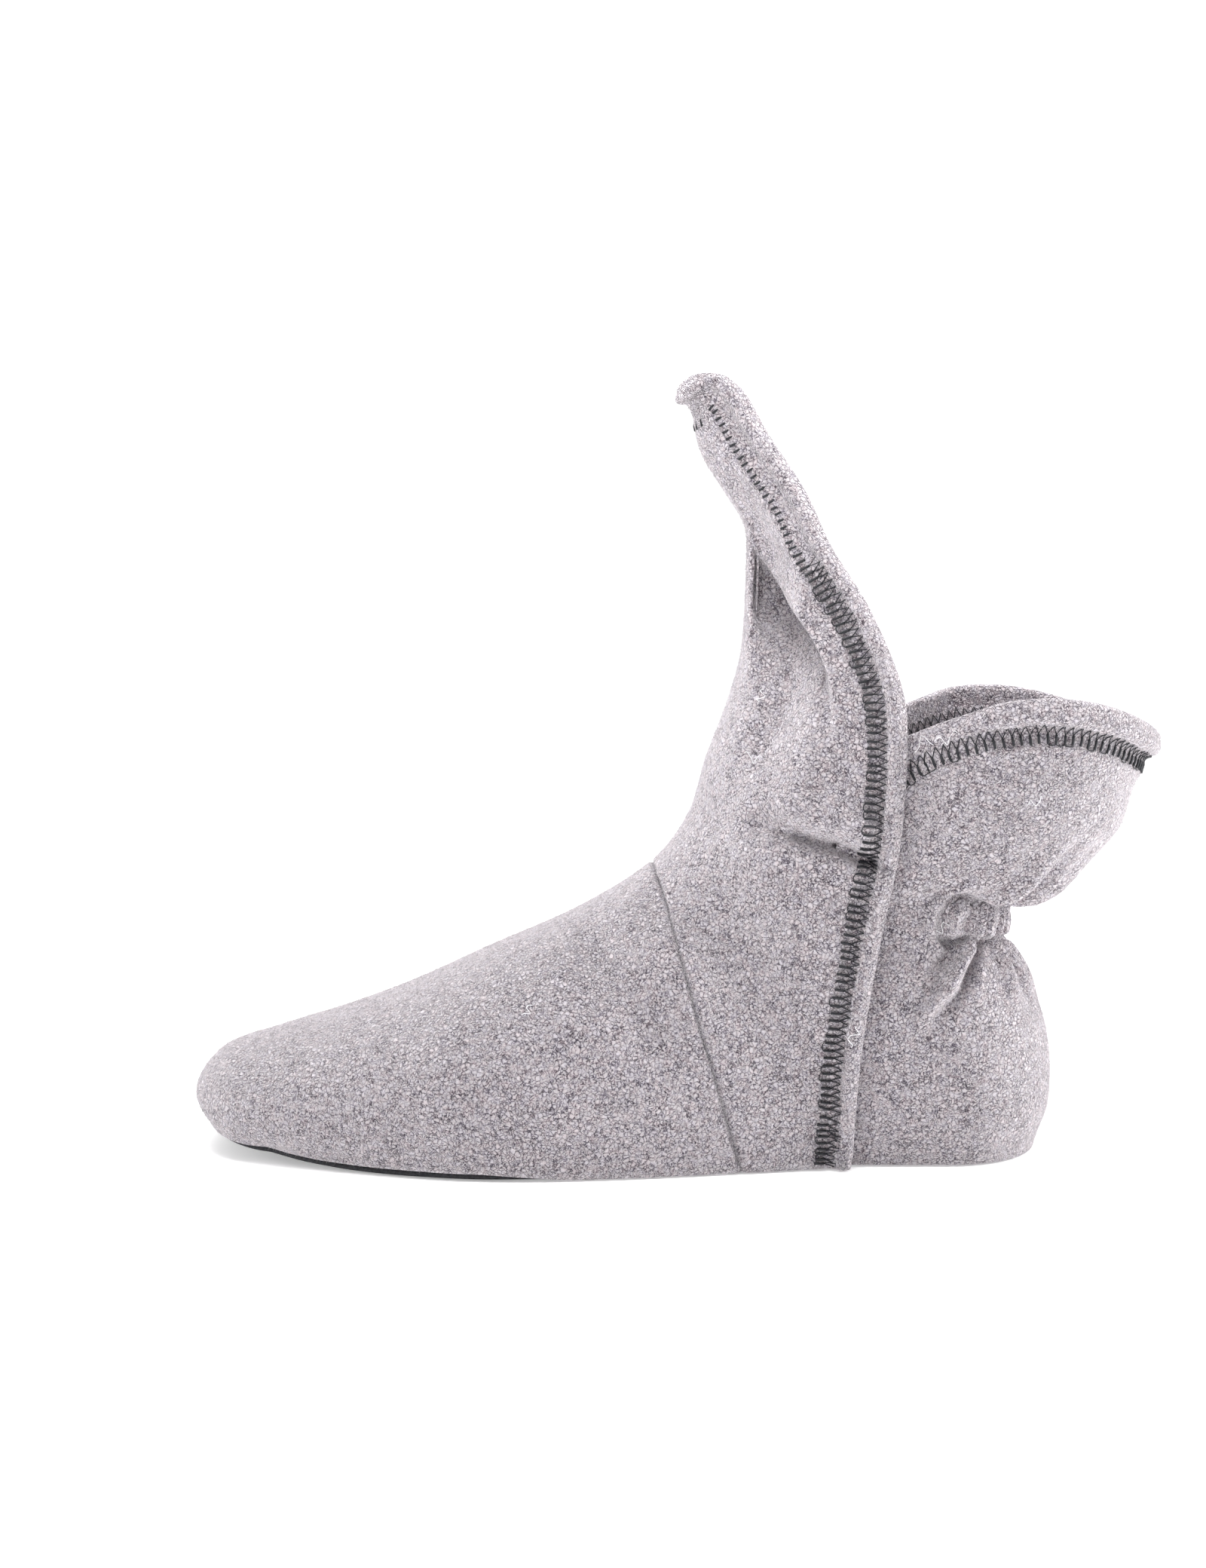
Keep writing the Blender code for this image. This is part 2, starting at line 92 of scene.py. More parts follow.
def ease(low, high, value):
    """0 up to low, 1 from high on, with the cubic 3t^2 - 2t^3 between them."""
    part = np.clip((value - low) / (high - low), 0, 1)
    return part * part * (3 - 2 * part)


def plateau(span, value):
    """0 before the first of four places, 1 between the middle two, 0 after the last."""
    rise, full, fall, out = span
    return ease(rise, full, value) * (1 - ease(fall, out, value))


def through(values, at):
    """Catmull-Rom cubic through evenly numbered values, read at the row numbers `at`."""
    values = np.asarray(values, float)
    padded = np.concatenate([[2 * values[0] - values[1]], values, [2 * values[-1] - values[-2]]])
    row = np.clip(np.floor(at).astype(int), 0, len(values) - 2)
    part = at - row
    before, start, end, after = (padded[row + step] for step in range(4))
    bend = 2 * before - 5 * start + 4 * end - after
    twist = 3 * (start - end) + after - before
    return start + 0.5 * part * (end - before + part * (bend + part * twist))


def through_places(places, values, at):
    """The same cubic for values at rising places, read at the places `at`."""
    return through(values, np.interp(at, places, np.arange(len(places))))


def length_to_x(along):
    """x of a share of the foot length, counted from the toe."""
    return (along - 0.5) * FOOT_LENGTH


def toe_lift(x):
    """Height of the sole's underside: a parabola in front of the ball, flat behind it."""
    ahead = (length_to_x(SPRING_START) - x) / (SPRING_START * FOOT_LENGTH)
    return TOE_SPRING * np.clip(ahead, 0, 1) ** 2


def sole_sides(along):
    """Centre and half width of the sole: the outline's cubic, times a width that eases from
    the ball's to the heel's."""
    heel_scale = HEEL_WIDTH / (2 * SOLE_OUTLINE[-1, 2])
    scale = BALL_WIDTH + (heel_scale - BALL_WIDTH) * ease(*NARROWING, along)
    centre = through_places(SOLE_OUTLINE[:, 0], SOLE_OUTLINE[:, 1], along) * scale
    return centre, through_places(SOLE_OUTLINE[:, 0], SOLE_OUTLINE[:, 2], along) * scale


def sole_plan(inset):
    """Closed plan: half ellipse at the toe, the two sides, half superellipse at the heel, each
    point moved in by `inset` square to the line."""
    toe_along = SOLE_OUTLINE[0, 0]
    toe_centre, toe_half = sole_sides(np.array([toe_along]))
    toe_x, tip_x = length_to_x(toe_along), length_to_x(TOE_CAP)
    turn = np.linspace(0, math.pi / 2, PLAN_STEPS + 1)
    heel_start = length_to_x(HEEL_ALONG) - HEEL_WIDTH / 2
    side_x = np.linspace(toe_x, heel_start, 3 * PLAN_STEPS)
    centre, half = sole_sides(side_x / FOOT_LENGTH + 0.5)
    power = 2 / HEEL_ROUND
    x = np.concatenate([toe_x + (tip_x - toe_x) * np.cos(turn[:-1]), side_x,
                        heel_start + HEEL_WIDTH / 2 * np.sin(turn[1:]) ** power])
    middle = np.concatenate([np.repeat(toe_centre, PLAN_STEPS), centre,
                             np.full(PLAN_STEPS, centre[-1])])
    wide = np.concatenate([toe_half * np.sin(turn[:-1]), half,
                           half[-1] * np.clip(np.cos(turn[1:]), 0, 1) ** power])
    loop = np.concatenate([np.column_stack([x, middle - wide]),
                           np.column_stack([x, middle + wide])[-2:0:-1]])
    tangent = np.roll(loop, -1, axis=0) - np.roll(loop, 1, axis=0)
    tangent /= np.linalg.norm(tangent, axis=1, keepdims=True)
    return loop - np.reshape(inset, (-1, 1)) * np.column_stack([tangent[:, 1], -tangent[:, 0]])


def mesh_piece(name, points, faces, finish, smooth=True, painted_shade_and_sunk_thread=None):
    """One mesh object at the origin, riding on the body, with its finish."""
    mesh = bpy.data.meshes.new(name)
    points = np.ascontiguousarray(points, np.float32)
    faces = np.ascontiguousarray(faces, np.int32)
    sides = faces.shape[1]
    mesh.vertices.add(len(points))
    mesh.vertices.foreach_set("co", points.ravel())
    mesh.loops.add(faces.size)
    mesh.loops.foreach_set("vertex_index", faces.ravel())
    mesh.polygons.add(len(faces))
    mesh.polygons.foreach_set("loop_start", np.arange(len(faces), dtype=np.int32) * sides)
    mesh.update(calc_edges=True)
    mesh.validate()
    # The optional per-point attribute holds painted shade, with the sunk thread's tint, for the
    # fleece finish to mix into its colour.
    if painted_shade_and_sunk_thread is not None:
        shade = mesh.attributes.new("painted_shade_and_sunk_thread", "FLOAT", "POINT")
        shade.data.foreach_set("value", np.ascontiguousarray(painted_shade_and_sunk_thread, np.float32))
    if smooth:
        mesh.shade_smooth()
    mesh.materials.append(finish)
    piece = bpy.data.objects.new(name, mesh)
    bpy.context.scene.collection.objects.link(piece)
    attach(piece, "root")
    return piece


def linear(hex_colour):
    """Linear RGBA of an sRGB hex colour."""
    parts = [int(hex_colour[place:place + 2], 16) / 255 for place in (1, 3, 5)]
    return [p / 12.92 if p <= 0.04045 else ((p + 0.055) / 1.055) ** 2.4 for p in parts] + [1.0]


def node(tree, kind, settings=(), links=()):
    """One node: settings set properties or named sockets, links join sockets to outputs."""
    made = tree.nodes.new(kind)
    for name, value in dict(settings).items():
        if isinstance(name, str) and hasattr(made, name):
            setattr(made, name, value)
        else:
            made.inputs[name].default_value = value
    for name, output in dict(links).items():
        tree.links.new(output, made.inputs[name])
    return made


def new_finish(name, settings):
    """A node material and its Principled shader, whose named sockets take the settings."""
    finish = bpy.data.materials.new(name)
    finish.use_nodes = True
    shader = finish.node_tree.nodes["Principled BSDF"]
    for socket, value in settings.items():
        shader.inputs[socket].default_value = value
    return finish, finish.node_tree, shader


def noise(tree, scale, detail):
    """Noise over the piece's own coordinates."""
    place = node(tree, "ShaderNodeTexCoord").outputs["Object"]
    return node(tree, "ShaderNodeTexNoise", {"Scale": scale, "Detail": detail}, {"Vector": place})


def coloured_relief(tree, shader, colour, height, strength, distance):
    """Joins a colour to the shader, and a bump that follows `height`."""
    bump = node(tree, "ShaderNodeBump", {"Strength": strength, "Distance": distance},
                {"Height": height})
    tree.links.new(colour, shader.inputs["Base Color"])
    tree.links.new(bump.outputs["Normal"], shader.inputs["Normal"])


def ramp(tree, source, stops):
    """Colour ramp read by `source`, with (place, hex colour) stops."""
    made = node(tree, "ShaderNodeValToRGB", links={0: source})
    bar = made.color_ramp
    while len(bar.elements) < len(stops):
        bar.elements.new(0.5)
    for element, (place, colour) in zip(bar.elements, stops):
        element.position = place
        element.color = linear(colour)
    return made


def grip_cloth():
    """Polyester grip cloth: close dark knit, matt, with a fine rib that catches a little light."""
    finish, tree, shader = new_finish("knitted_grip_cloth", {"Roughness": 0.85})
    knit = noise(tree, 1400.0, 3.0).outputs["Fac"]
    tone = ramp(tree, knit, [(0.3, "#1d1d20"), (0.7, "#3a3a3e")])
    coloured_relief(tree, shader, tone.outputs["Color"], knit, 0.5, 0.0003)
    return finish


def plate(plan, low, high, rounding, rings=4):
    """Closed plate over a plan: its rim bulges as a half circle, its faces are strips that join
    the left half of the loop to the right half."""
    count = len(plan)
    centre = plan.mean(axis=0)
    out = plan - centre
    out /= np.linalg.norm(out, axis=1, keepdims=True)
    loops = []
    for turn in np.linspace(-math.pi / 2, math.pi / 2, rings + 1):
        ring = plan - rounding * out * (1 - math.cos(turn))
        height = low + (high - low) * (math.sin(turn) + 1) / 2
        loops.append(np.column_stack([ring, height]))
    points = np.concatenate(loops)
    step = np.arange(count)
    following = (step + 1) % count
    walls = [np.column_stack([step, following, following + count, step + count]) + count * ring
             for ring in range(rings)]
    half = np.arange(count // 2)
    mirror = count - half
    mirror[0] = 0
    left, right = half[:-1], mirror[:-1]
    caps = np.column_stack([left, right, mirror[1:], half[1:]])
    last = np.array([[half[-1], mirror[-1], count // 2, count // 2]])
    low_cap = np.concatenate([caps, last])
    high_cap = low_cap[:, ::-1] + count * rings
    faces = np.concatenate(walls + [low_cap, high_cap])
    return points, faces


def triangles(quads):
    """Two triangles of each quad, without those that have no area."""
    both = np.concatenate([quads[:, [0, 1, 2]], quads[:, [0, 2, 3]]])
    real = (both[:, 0] != both[:, 1]) & (both[:, 1] != both[:, 2]) & (both[:, 0] != both[:, 2])
    return both[real]


def grip_dots():
    """Closed domes under the sole, on rows that are half a pitch apart in turn: a ring in the
    cloth, a smaller ring below it and a tip on the floor."""
    inner = sole_plan(DOT_MARGIN)
    half = len(inner) // 2
    left = inner[:half + 1]
    right = np.concatenate([inner[half:], inner[:1]])[::-1]
    column, line = np.meshgrid(np.arange(left[0, 0], left[-1, 0], DOT_PITCH * math.sqrt(0.75)),
                               np.arange(-BALL_WIDTH, BALL_WIDTH, DOT_PITCH), indexing="ij")
    line = line + DOT_PITCH / 2 * (np.arange(len(column)) % 2)[:, None]
    fits = (line > np.interp(column, *left.T)) & (line < np.interp(column, *right.T))
    x, y = column[fits][:, None], line[fits][:, None]
    z = toe_lift(x)
    turn = np.arange(DOT_SIDES) * 2 * math.pi / DOT_SIDES
    rings = [np.stack([x + wide * DOT_RADIUS * np.cos(turn), y + wide * DOT_RADIUS * np.sin(turn),
                       z + up * DOT_HEIGHT + 0 * turn], -1)
             for wide, up in ((1.0, DOT_ROOT), DOT_SHOULDER)]
    ends = [np.stack([x, y, z + up * DOT_HEIGHT], -1) for up in (DOT_ROOT, 0.0)]
    points = np.concatenate(rings + ends, axis=1)
    this = np.arange(DOT_SIDES)
    following = (this + 1) % DOT_SIDES
    top, tip = np.full(DOT_SIDES, 2 * DOT_SIDES), np.full(DOT_SIDES, 2 * DOT_SIDES + 1)
    one = np.concatenate([
        np.column_stack([this, this + DOT_SIDES, following + DOT_SIDES]),
        np.column_stack([this, following + DOT_SIDES, following]),
        np.column_stack([tip, following + DOT_SIDES, this + DOT_SIDES]),
        np.column_stack([top, this, following])])
    faces = one[None] + points.shape[1] * np.arange(len(points))[:, None, None]
    return points.reshape(-1, 3), faces.reshape(-1, 3)


def dot_rubber():
    """Soft moulded rubber: dark grey, evenly matt, with a faint broad shine on each dome."""
    grey = linear("#2b2b2e")
    return new_finish("moulded_rubber_dots", {"Base Color": grey, "Roughness": 0.55})[0]


plan = sole_plan(0.0)
behind_ball = ease(*map(length_to_x, BALL_BLEND), plan[:, 0])
hidden = TOE_HIDDEN + (SOLE_HIDDEN - TOE_HIDDEN) * behind_ball
hidden *= 1 + CORNER_HIDDEN * plateau(map(length_to_x, CORNER_SPAN), plan[:, 0])
plan = sole_plan(hidden)
lift = toe_lift(plan[:, 0])
points, faces = plate(plan, lift + DOT_HEIGHT, lift + SOLE_THICKNESS, SOLE_ROUNDING)
grip_sole = mesh_piece("grip_sole", points, triangles(faces), grip_cloth())
points, faces = grip_dots()
sole_dots = mesh_piece("sole_dots", points, faces, dot_rubber())
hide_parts("outsole")
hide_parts("outsole")

# Footbed
# A soft fleece-covered pad that lies inside the walls. Its edge is rounded. It is laid in and held
# by the seam round the sole.

FLEECE = 0.0026
INSOLE_THICKNESS = 0.0032
INSOLE_EASE = 0.0021
LAP = 0.017
HEM_CORNER_ALONG = 0.756
FOOTBED_ROUNDING = 0.0012


def polar_fleece(name, gap, mid, light):
    """Polyester polar fleece, knitted, brushed and sheared: light matt nubs of nap about 1.2 mm
    across, with painted shade in the gaps between some of them and a soft sheen at glancing angles."""
    finish, tree, shader = new_finish(name, {
        "Roughness": 0.95, "Specular IOR Level": 0.15, "Sheen Weight": 1.0,
        "Sheen Roughness": 0.42, "Sheen Tint": linear("#f4eff2")})
    place = node(tree, "ShaderNodeTexCoord").outputs["Object"]
    waver, fine, patch, hue = (noise(tree, scale, detail) for scale, detail in
                               ((900.0, 2.0), (1700.0, 3.0), (330.0, 2.0), (500.0, 1.0)))
    shift = node(tree, "ShaderNodeVectorMath", {"operation": "MULTIPLY_ADD", 1: (0.0022,) * 3},
                 {0: waver.outputs["Color"], 2: place})
    nubs = node(tree, "ShaderNodeTexVoronoi", {"feature": "DISTANCE_TO_EDGE", "Scale": 820.0},
                {"Vector": shift.outputs[0]})
    height = node(tree, "ShaderNodeMapRange", {"From Max": 0.28}, {0: nubs.outputs["Distance"]})
    part = node(tree, "ShaderNodeMix", {"data_type": "FLOAT", 0: 0.36},
                {2: height.outputs[0], 3: fine.outputs["Fac"]})
    grain = node(tree, "ShaderNodeMix", {"data_type": "FLOAT", 0: 0.30},
                 {2: part.outputs[0], 3: patch.outputs["Fac"]})
    # The first stop, the gap colour at the nubs' edges, is painted shade in the pile between the
    # nubs.
    tone = ramp(tree, grain.outputs[0], [(0.27, gap), (0.37, mid), (0.50, light)])
    tint = ramp(tree, hue.outputs["Fac"], [(0.36, "#b9b8c8"), (0.5, "#bdb9bc"), (0.66, "#cbb7b8")])
    coloured = node(tree, "ShaderNodeMix",
                    {"data_type": "RGBA", "blend_type": "SOFT_LIGHT", 0: 0.45},
                    {6: tone.outputs["Color"], 7: tint.outputs["Color"]})
    # Painted shade: this attribute darkens the colour towards the dark grey below in the seam's
    # groove, in the deep creases, in the hollow in front of the rolled margin, beneath the flap's
    # tip and along the casing's seams. Beneath the tip and along the sunk stitch line it also
    # stands for the thread seen through the nap.
    seam = node(tree, "ShaderNodeAttribute", {"attribute_name": "painted_shade_and_sunk_thread"})
    with_painted_shade = node(tree, "ShaderNodeMix", {"data_type": "RGBA", 7: linear("#3c3942")},
                  {0: seam.outputs["Fac"], 6: coloured.outputs[2]})
    coloured_relief(tree, shader, with_painted_shade.outputs[2], grain.outputs[0], 0.9, 0.0012)
    return finish


# The first colour of each fleece is the painted shade between its nubs.
fleece_finish = polar_fleece("brushed_polar_fleece", "#39333c", "#8a8389", "#c2bcc0")
footbed_finish = polar_fleece("pressed_polar_fleece", "#3c373f", "#857e84", "#b0abae")

plan = sole_plan(0.0)
corner_x = length_to_x(HEM_CORNER_ALONG)
lapped = plateau((corner_x - 2 * LAP, corner_x - LAP, corner_x, corner_x + LAP), plan[:, 0])
plan = sole_plan((FLEECE + INSOLE_EASE) * (1 + lapped))
low = toe_lift(plan[:, 0]) + SOLE_THICKNESS + CLEARANCE
points, faces = plate(plan, low, low + INSOLE_THICKNESS, FOOTBED_ROUNDING)
footbed = mesh_piece("footbed", points, triangles(faces), footbed_finish)
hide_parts("insole")

# Vamp and front shaft
# Two pieces of 2.6 mm fleece sewn right sides together across the instep and turned, so that the
# seam is a thin groove. The shaft piece rises to a tall pointed flap. Its rear edges are folded
# in once as a hem, whose margin rolls outward high on the flap.

INSTEP_HEIGHT = 0.088
ANKLE_WIDTH = 0.076
FLAP_HEIGHT = 0.2355
BELLY = 0.0045
BELLY_SCALE = 27 / 4
HEM_STEP = 0.0014
TIP_ROW = 0.0085
TIP_DOME = (-0.0013, 0.0027)
TIP_TURN = 0.75
TIP_ROWS = 1.4
HEM_PINCH = 0.0012
HEM_PUFF = 0.0012
HEM_UNDER = 0.5
HEM_START = (1.2, 0.9)
STITCH_DRAW = 0.0032
FRONT_FOLD = 0.0044
FRONT_BAND = (0.0043, 0.0073, 0.0102)
FOLD_BLEND = (0.80, 1.15)
UNDER_BLEND = (1.35, 1.60)
SEAM_DEPTH = 0.0009
SEAM_WIDTH = 0.0006
SEAM_PAINTED_SHADE = 0.7
SUNK_LINE_DARK = 0.35
SUNK_LINE_WIDTH = 0.0006
SUNK_LINE_START = (0.70, 0.76)
TIP_LINE_WIDTH = 0.0028
TIP_LINE_SIDES = (0.35, 0.60)
CREASE_PAINTED_SHADE = 0.55
HOLLOW_PAINTED_SHADE = 0.20
HOLLOW_DEEP = 0.0060
CREASE_START = 0.0036
CREASE_END = 0.0068
SEAM_ROW = 8.0
SEAM_ROW_LENGTH = 0.021
SEAM_SPAN = 0.2

# Edge and ridge along the length, ridge height over the instep height, roundness, ridge offset,
# share of the belly
FOOT_SECTIONS = np.array([
    (0.090, 0.008, 0.000, 2.05, 0.040, 0.55),
    (0.098, -0.009, 0.200, 2.15, 0.045, 0.61),
    (0.125, 0.020, 0.325, 2.20, 0.050, 0.67),
    (0.168, 0.086, 0.395, 2.25, 0.055, 0.73),
    (0.238, 0.172, 0.475, 2.30, 0.050, 0.78),
    (0.315, 0.256, 0.572, 2.30, 0.040, 0.83),
    (0.395, 0.340, 0.690, 2.30, 0.030, 0.87),
    (0.505, 0.448, 0.835, 2.35, 0.020, 0.92),
    (0.633, 0.534, 1.000, 2.40, 0.010, 0.96),
    (0.756, 0.577, 1.170, 2.40, 0.000, 1.00),
])

# Ridge along and height, hem along and height, hem half width, roundness, depth of the hollow,
# share of the belly
SHAFT_SECTIONS = np.array([
    (0.597, 0.508, 0.764, 0.165, 0.500, 2.30, 0.00, 0.50),
    (0.615, 0.560, 0.783, 0.300, 0.490, 2.20, 0.03, 0.37),
    (0.629, 0.606, 0.802, 0.415, 0.495, 2.10, 0.10, 0.25),
    (0.638, 0.646, 0.808, 0.530, 0.490, 2.05, 0.22, 0.12),
    (0.642, 0.697, 0.803, 0.610, 0.440, 2.00, 0.34, 0.00),
    (0.644, 0.772, 0.770, 0.706, 0.350, 2.00, 0.38, 0.00),
    (0.641, 0.814, 0.728, 0.784, 0.280, 2.00, 0.26, 0.00),
    (0.618, 0.856, 0.699, 0.853, 0.225, 2.00, 0.12, 0.00),
    (0.592, 0.902, 0.660, 0.920, 0.175, 2.00, 0.04, 0.00),
    (0.580, 0.948, 0.632, 0.975, 0.135, 2.00, 0.00, 0.00),
    (0.571, 0.975, 0.614, 0.997, 0.110, 2.00, 0.00, 0.00),
])
HOLLOW_SPAN = (0.10, 0.42, 0.46, 0.62)

# Creases: side (-1 lateral, 1 medial), start and end along the length and up the flap height,
# then half width and height of the ridge (below 0, depth of the trough) in millimetres
CREASES = np.array([
    (-1, 0.815, 0.372, 0.735, 0.412, 2.0, -7.2),
    (-1, 0.735, 0.412, 0.690, 0.425, 2.8, -4.8),
    (-1, 0.690, 0.425, 0.645, 0.436, 4.2, -2.8),
    (-1, 0.645, 0.436, 0.600, 0.444, 6.0, -1.8),
    (-1, 0.775, 0.430, 0.690, 0.460, 5.0, 3.4),
    (-1, 0.750, 0.375, 0.660, 0.400, 6.0, 1.4),
    (-1, 0.650, 0.520, 0.695, 0.610, 6.0, -2.2),
    (-1, 0.615, 0.455, 0.650, 0.530, 6.0, -1.6),
    (-1, 0.700, 0.500, 0.725, 0.560, 5.0, 1.4),
    (-1, 0.560, 0.330, 0.640, 0.250, 9.0, -1.8),
    (-1, 0.690, 0.300, 0.730, 0.200, 9.0, 1.2),
    (-1, 0.477, 0.262, 0.530, 0.175, 8.0, -3.0),
    (-1, 0.560, 0.285, 0.585, 0.205, 7.0, 2.0),
    (-1, 0.300, 0.150, 0.420, 0.090, 9.0, 1.0),
    (-1, 0.180, 0.080, 0.260, 0.060, 9.0, -0.9),
    (1, 0.815, 0.376, 0.735, 0.416, 2.3, -4.6),
    (1, 0.735, 0.416, 0.640, 0.438, 3.2, -3.4),
    (1, 0.770, 0.430, 0.690, 0.465, 5.5, 2.2),
    (1, 0.640, 0.500, 0.690, 0.600, 7.0, -2.0),
    (1, 0.500, 0.250, 0.590, 0.170, 9.0, -1.5),
    (1, 0.320, 0.150, 0.430, 0.100, 9.0, 1.0),
])

# Rolled fold of the lateral margin: its border line up the shaft, where the front wall dives
# behind the flat margin. Along, height, step down in millimetres
ROLLED_FOLD = np.array([
    (0.622, 0.845, 0.5),
    (0.640, 0.808, 1.6),
    (0.651, 0.796, 3.0),
    (0.680, 0.741, 5.4),
    (0.697, 0.701, 6.6),
    (0.719, 0.660, 6.4),
    (0.731, 0.623, 4.2),
    (0.737, 0.577, 2.0),
    (0.738, 0.515, 0.4),
])
FOLD_FALL = 0.0034
FOLD_LAP = 0.42
CLOSING = 0.40
CLOSING_DEPTH = 0.004
CREASE_SIDES = (0.05, 0.25)
FOLD_SIDES = (0.10, 0.30)
CREST = (0.0008, 0.0034)
VALLEY_WIDTH = 0.0040
FOLD_RETURN = 0.016
TURNED_UNDER = 0.0017

# Distances in from the hem over which folds, their pull and the rolled fold set in
FOLD_CLEAR = (0.003, 0.009)
PULL_CLEAR = (0.002, 0.006)
ROLL_CLEAR = (0.010, 0.016)
AT_BORDER = 0.9999

VAMP_GRID = (214, 168)
SHAFT_GRID = (236, 168)
SEAM_LINES = 10


def upper_rows():
    """All sections from the toe to the flap tip, one array per quantity."""
    centre, half = sole_sides(FOOT_SECTIONS[:, 0])
    edge_x = length_to_x(FOOT_SECTIONS[:, 0])
    edge_z = SOLE_THICKNESS + CLEARANCE + toe_lift(edge_x)
    ridge_z = FOOT_SECTIONS[:, 2] * INSTEP_HEIGHT
    ridge_z[0] = SOLE_THICKNESS + CLEARANCE + toe_lift(length_to_x(FOOT_SECTIONS[0, 1]))
    none = np.zeros(len(SHAFT_SECTIONS))
    return {
        "ridge_x": length_to_x(np.append(FOOT_SECTIONS[:, 1], SHAFT_SECTIONS[:, 0])),
        "ridge_y": np.append(FOOT_SECTIONS[:, 4] * BALL_WIDTH, none),
        "ridge_z": np.append(ridge_z, SHAFT_SECTIONS[:, 1] * FLAP_HEIGHT),
        "edge_x": length_to_x(np.append(FOOT_SECTIONS[:, 0], SHAFT_SECTIONS[:, 2])),
        "edge_z": np.append(edge_z, SHAFT_SECTIONS[:, 3] * FLAP_HEIGHT),
        "middle": np.append(centre, none),
        "half": np.append(half, SHAFT_SECTIONS[:, 4] * ANKLE_WIDTH),
        "round": np.append(FOOT_SECTIONS[:, 3], SHAFT_SECTIONS[:, 5]),
        "hollow": np.append(np.zeros(len(centre)), SHAFT_SECTIONS[:, 6]),
        "belly": np.append(FOOT_SECTIONS[:, 5], SHAFT_SECTIONS[:, 7]),
    }


UPPER = upper_rows()
CORNER = len(FOOT_SECTIONS) - 1
LAST = len(UPPER["half"]) - 1


def upper_at(name, row):
    """One quantity of the sections, smooth but for the corner where the hem starts."""
    values = UPPER[name]
    if name not in ("edge_x", "edge_z"):
        return through(values, row)
    foot, shaft = values[:CORNER + 1], values[CORNER:]
    return np.where(row < CORNER, through(foot, row), through(shaft, row - CORNER))


def upper_surface(row, side):
    """Outer face: in side view each section is the line from ridge to edge, across it the sheet
    follows a superellipse, less the hollow in front of the rolled margin, plus the belly."""
    at = {name: upper_at(name, row) for name in UPPER}
    turn = np.abs(side) * math.pi / 2
    power = 2 / at["round"]
    across = np.sin(turn) ** power
    up = np.clip(np.cos(turn), 0, 1) ** power
    hollow = plateau(HOLLOW_SPAN, np.abs(side))
    belly = BELLY * at["belly"] * BELLY_SCALE * side**2 * (1 - np.abs(side))
    reach = at["half"] * (across - at["hollow"] * hollow) + belly
    x = at["edge_x"] + (at["ridge_x"] - at["edge_x"]) * up
    y = at["ridge_y"] + (at["middle"] - at["ridge_y"]) * across + np.sign(side) * reach
    z = at["edge_z"] + (at["ridge_z"] - at["edge_z"]) * up
    return np.stack([x, y, z], axis=-1)


def grid_normals(points, outside):
    """Unit normals of a grid from its differences along rows and columns, times +1 or -1."""
    normal = np.cross(np.gradient(points, axis=0), np.gradient(points, axis=1)) * outside
    return normal / np.maximum(np.linalg.norm(normal, axis=-1, keepdims=True), 1e-12)


def creases(points, side):
    """Height of the listed folds and their pull in side view. Each is a Gaussian across its
    line on its own side of the foot; where several meet, the deepest trough and the highest
    ridge count. A trough draws the cloth beside it towards its line, which closes it."""
    along = points[..., 0] + FOOT_LENGTH / 2
    place = np.stack([along, points[..., 2]], axis=-1)
    trough, ridge = np.zeros(along.shape), np.zeros(along.shape)
    pull = np.zeros(place.shape)
    for which, x0, z0, x1, z1, wide, rise in CREASES:
        start = np.array([x0 * FOOT_LENGTH, z0 * FLAP_HEIGHT])
        line = np.array([x1 * FOOT_LENGTH, z1 * FLAP_HEIGHT]) - start
        share = np.clip(((place - start) @ line) / (line @ line), 0, 1)
        off = place - start - share[..., None] * line
        gap = np.linalg.norm(off, axis=-1) / (wide * MILLIMETRE)
        one = rise * MILLIMETRE * np.exp(-gap * gap) * ease(*CREASE_SIDES, side * which)
        deeper = one < trough
        trough, ridge = np.minimum(trough, one), np.maximum(ridge, one)
        drawn = CLOSING * off * (one / CLOSING_DEPTH)[..., None]
        pull = np.where(deeper[..., None], drawn, pull)
    return trough + ridge, pull


def rolled_fold(points, side):
    """Depth of the hollow in front of the rolled margin, and the shift along the foot that laps
    the margin over it: the wall drops steeply in front of the border line and comes back slowly,
    on the lateral side fully and on the medial side by half."""
    line = ROLLED_FOLD[::-1]
    height = points[..., 2] / FLAP_HEIGHT
    border = through_places(line[:, 1], line[:, 0], height) * FOOT_LENGTH - FOOT_LENGTH / 2
    deep = np.interp(height, line[:, 1], line[:, 2], left=0, right=0) * MILLIMETRE
    deep = deep * ease(*FOLD_SIDES, np.where(side < 0, -side, side / 2))
    ahead = border - points[..., 0]
    drop = plateau((0, FOLD_FALL, FOLD_FALL, FOLD_RETURN), ahead)
    crest = np.exp(-((ahead + CREST[0]) / CREST[1]) ** 2)
    valley = np.exp(-((ahead - FOLD_FALL) / VALLEY_WIDTH) ** 2)
    return -deep * drop, FOLD_LAP * deep * (valley - crest)


def hem_inside(points, row):
    """Distance in from the hem's outer edge in side view, or down from the flap's tip: across
    the hem's own direction at the nearest of its closely spaced points."""
    rows = np.linspace(CORNER, LAST, 400)
    line = np.stack([upper_at("edge_x", rows), upper_at("edge_z", rows)], -1)
    way = np.gradient(line, axis=0)
    way /= np.linalg.norm(way, axis=-1, keepdims=True)
    place = points[..., [0, 2]].reshape(-1, 2)
    nearest = np.array([np.argmin(((block[:, None] - line) ** 2).sum(-1), axis=1)
                        for block in np.array_split(place, 40)], dtype=object)
    nearest = np.concatenate(list(nearest)).astype(int)
    off, along = place - line[nearest], way[nearest]
    across = np.abs(off[:, 0] * along[:, 1] - off[:, 1] * along[:, 0]).reshape(row.shape)
    return np.minimum(across, (LAST - row) * TIP_ROW)


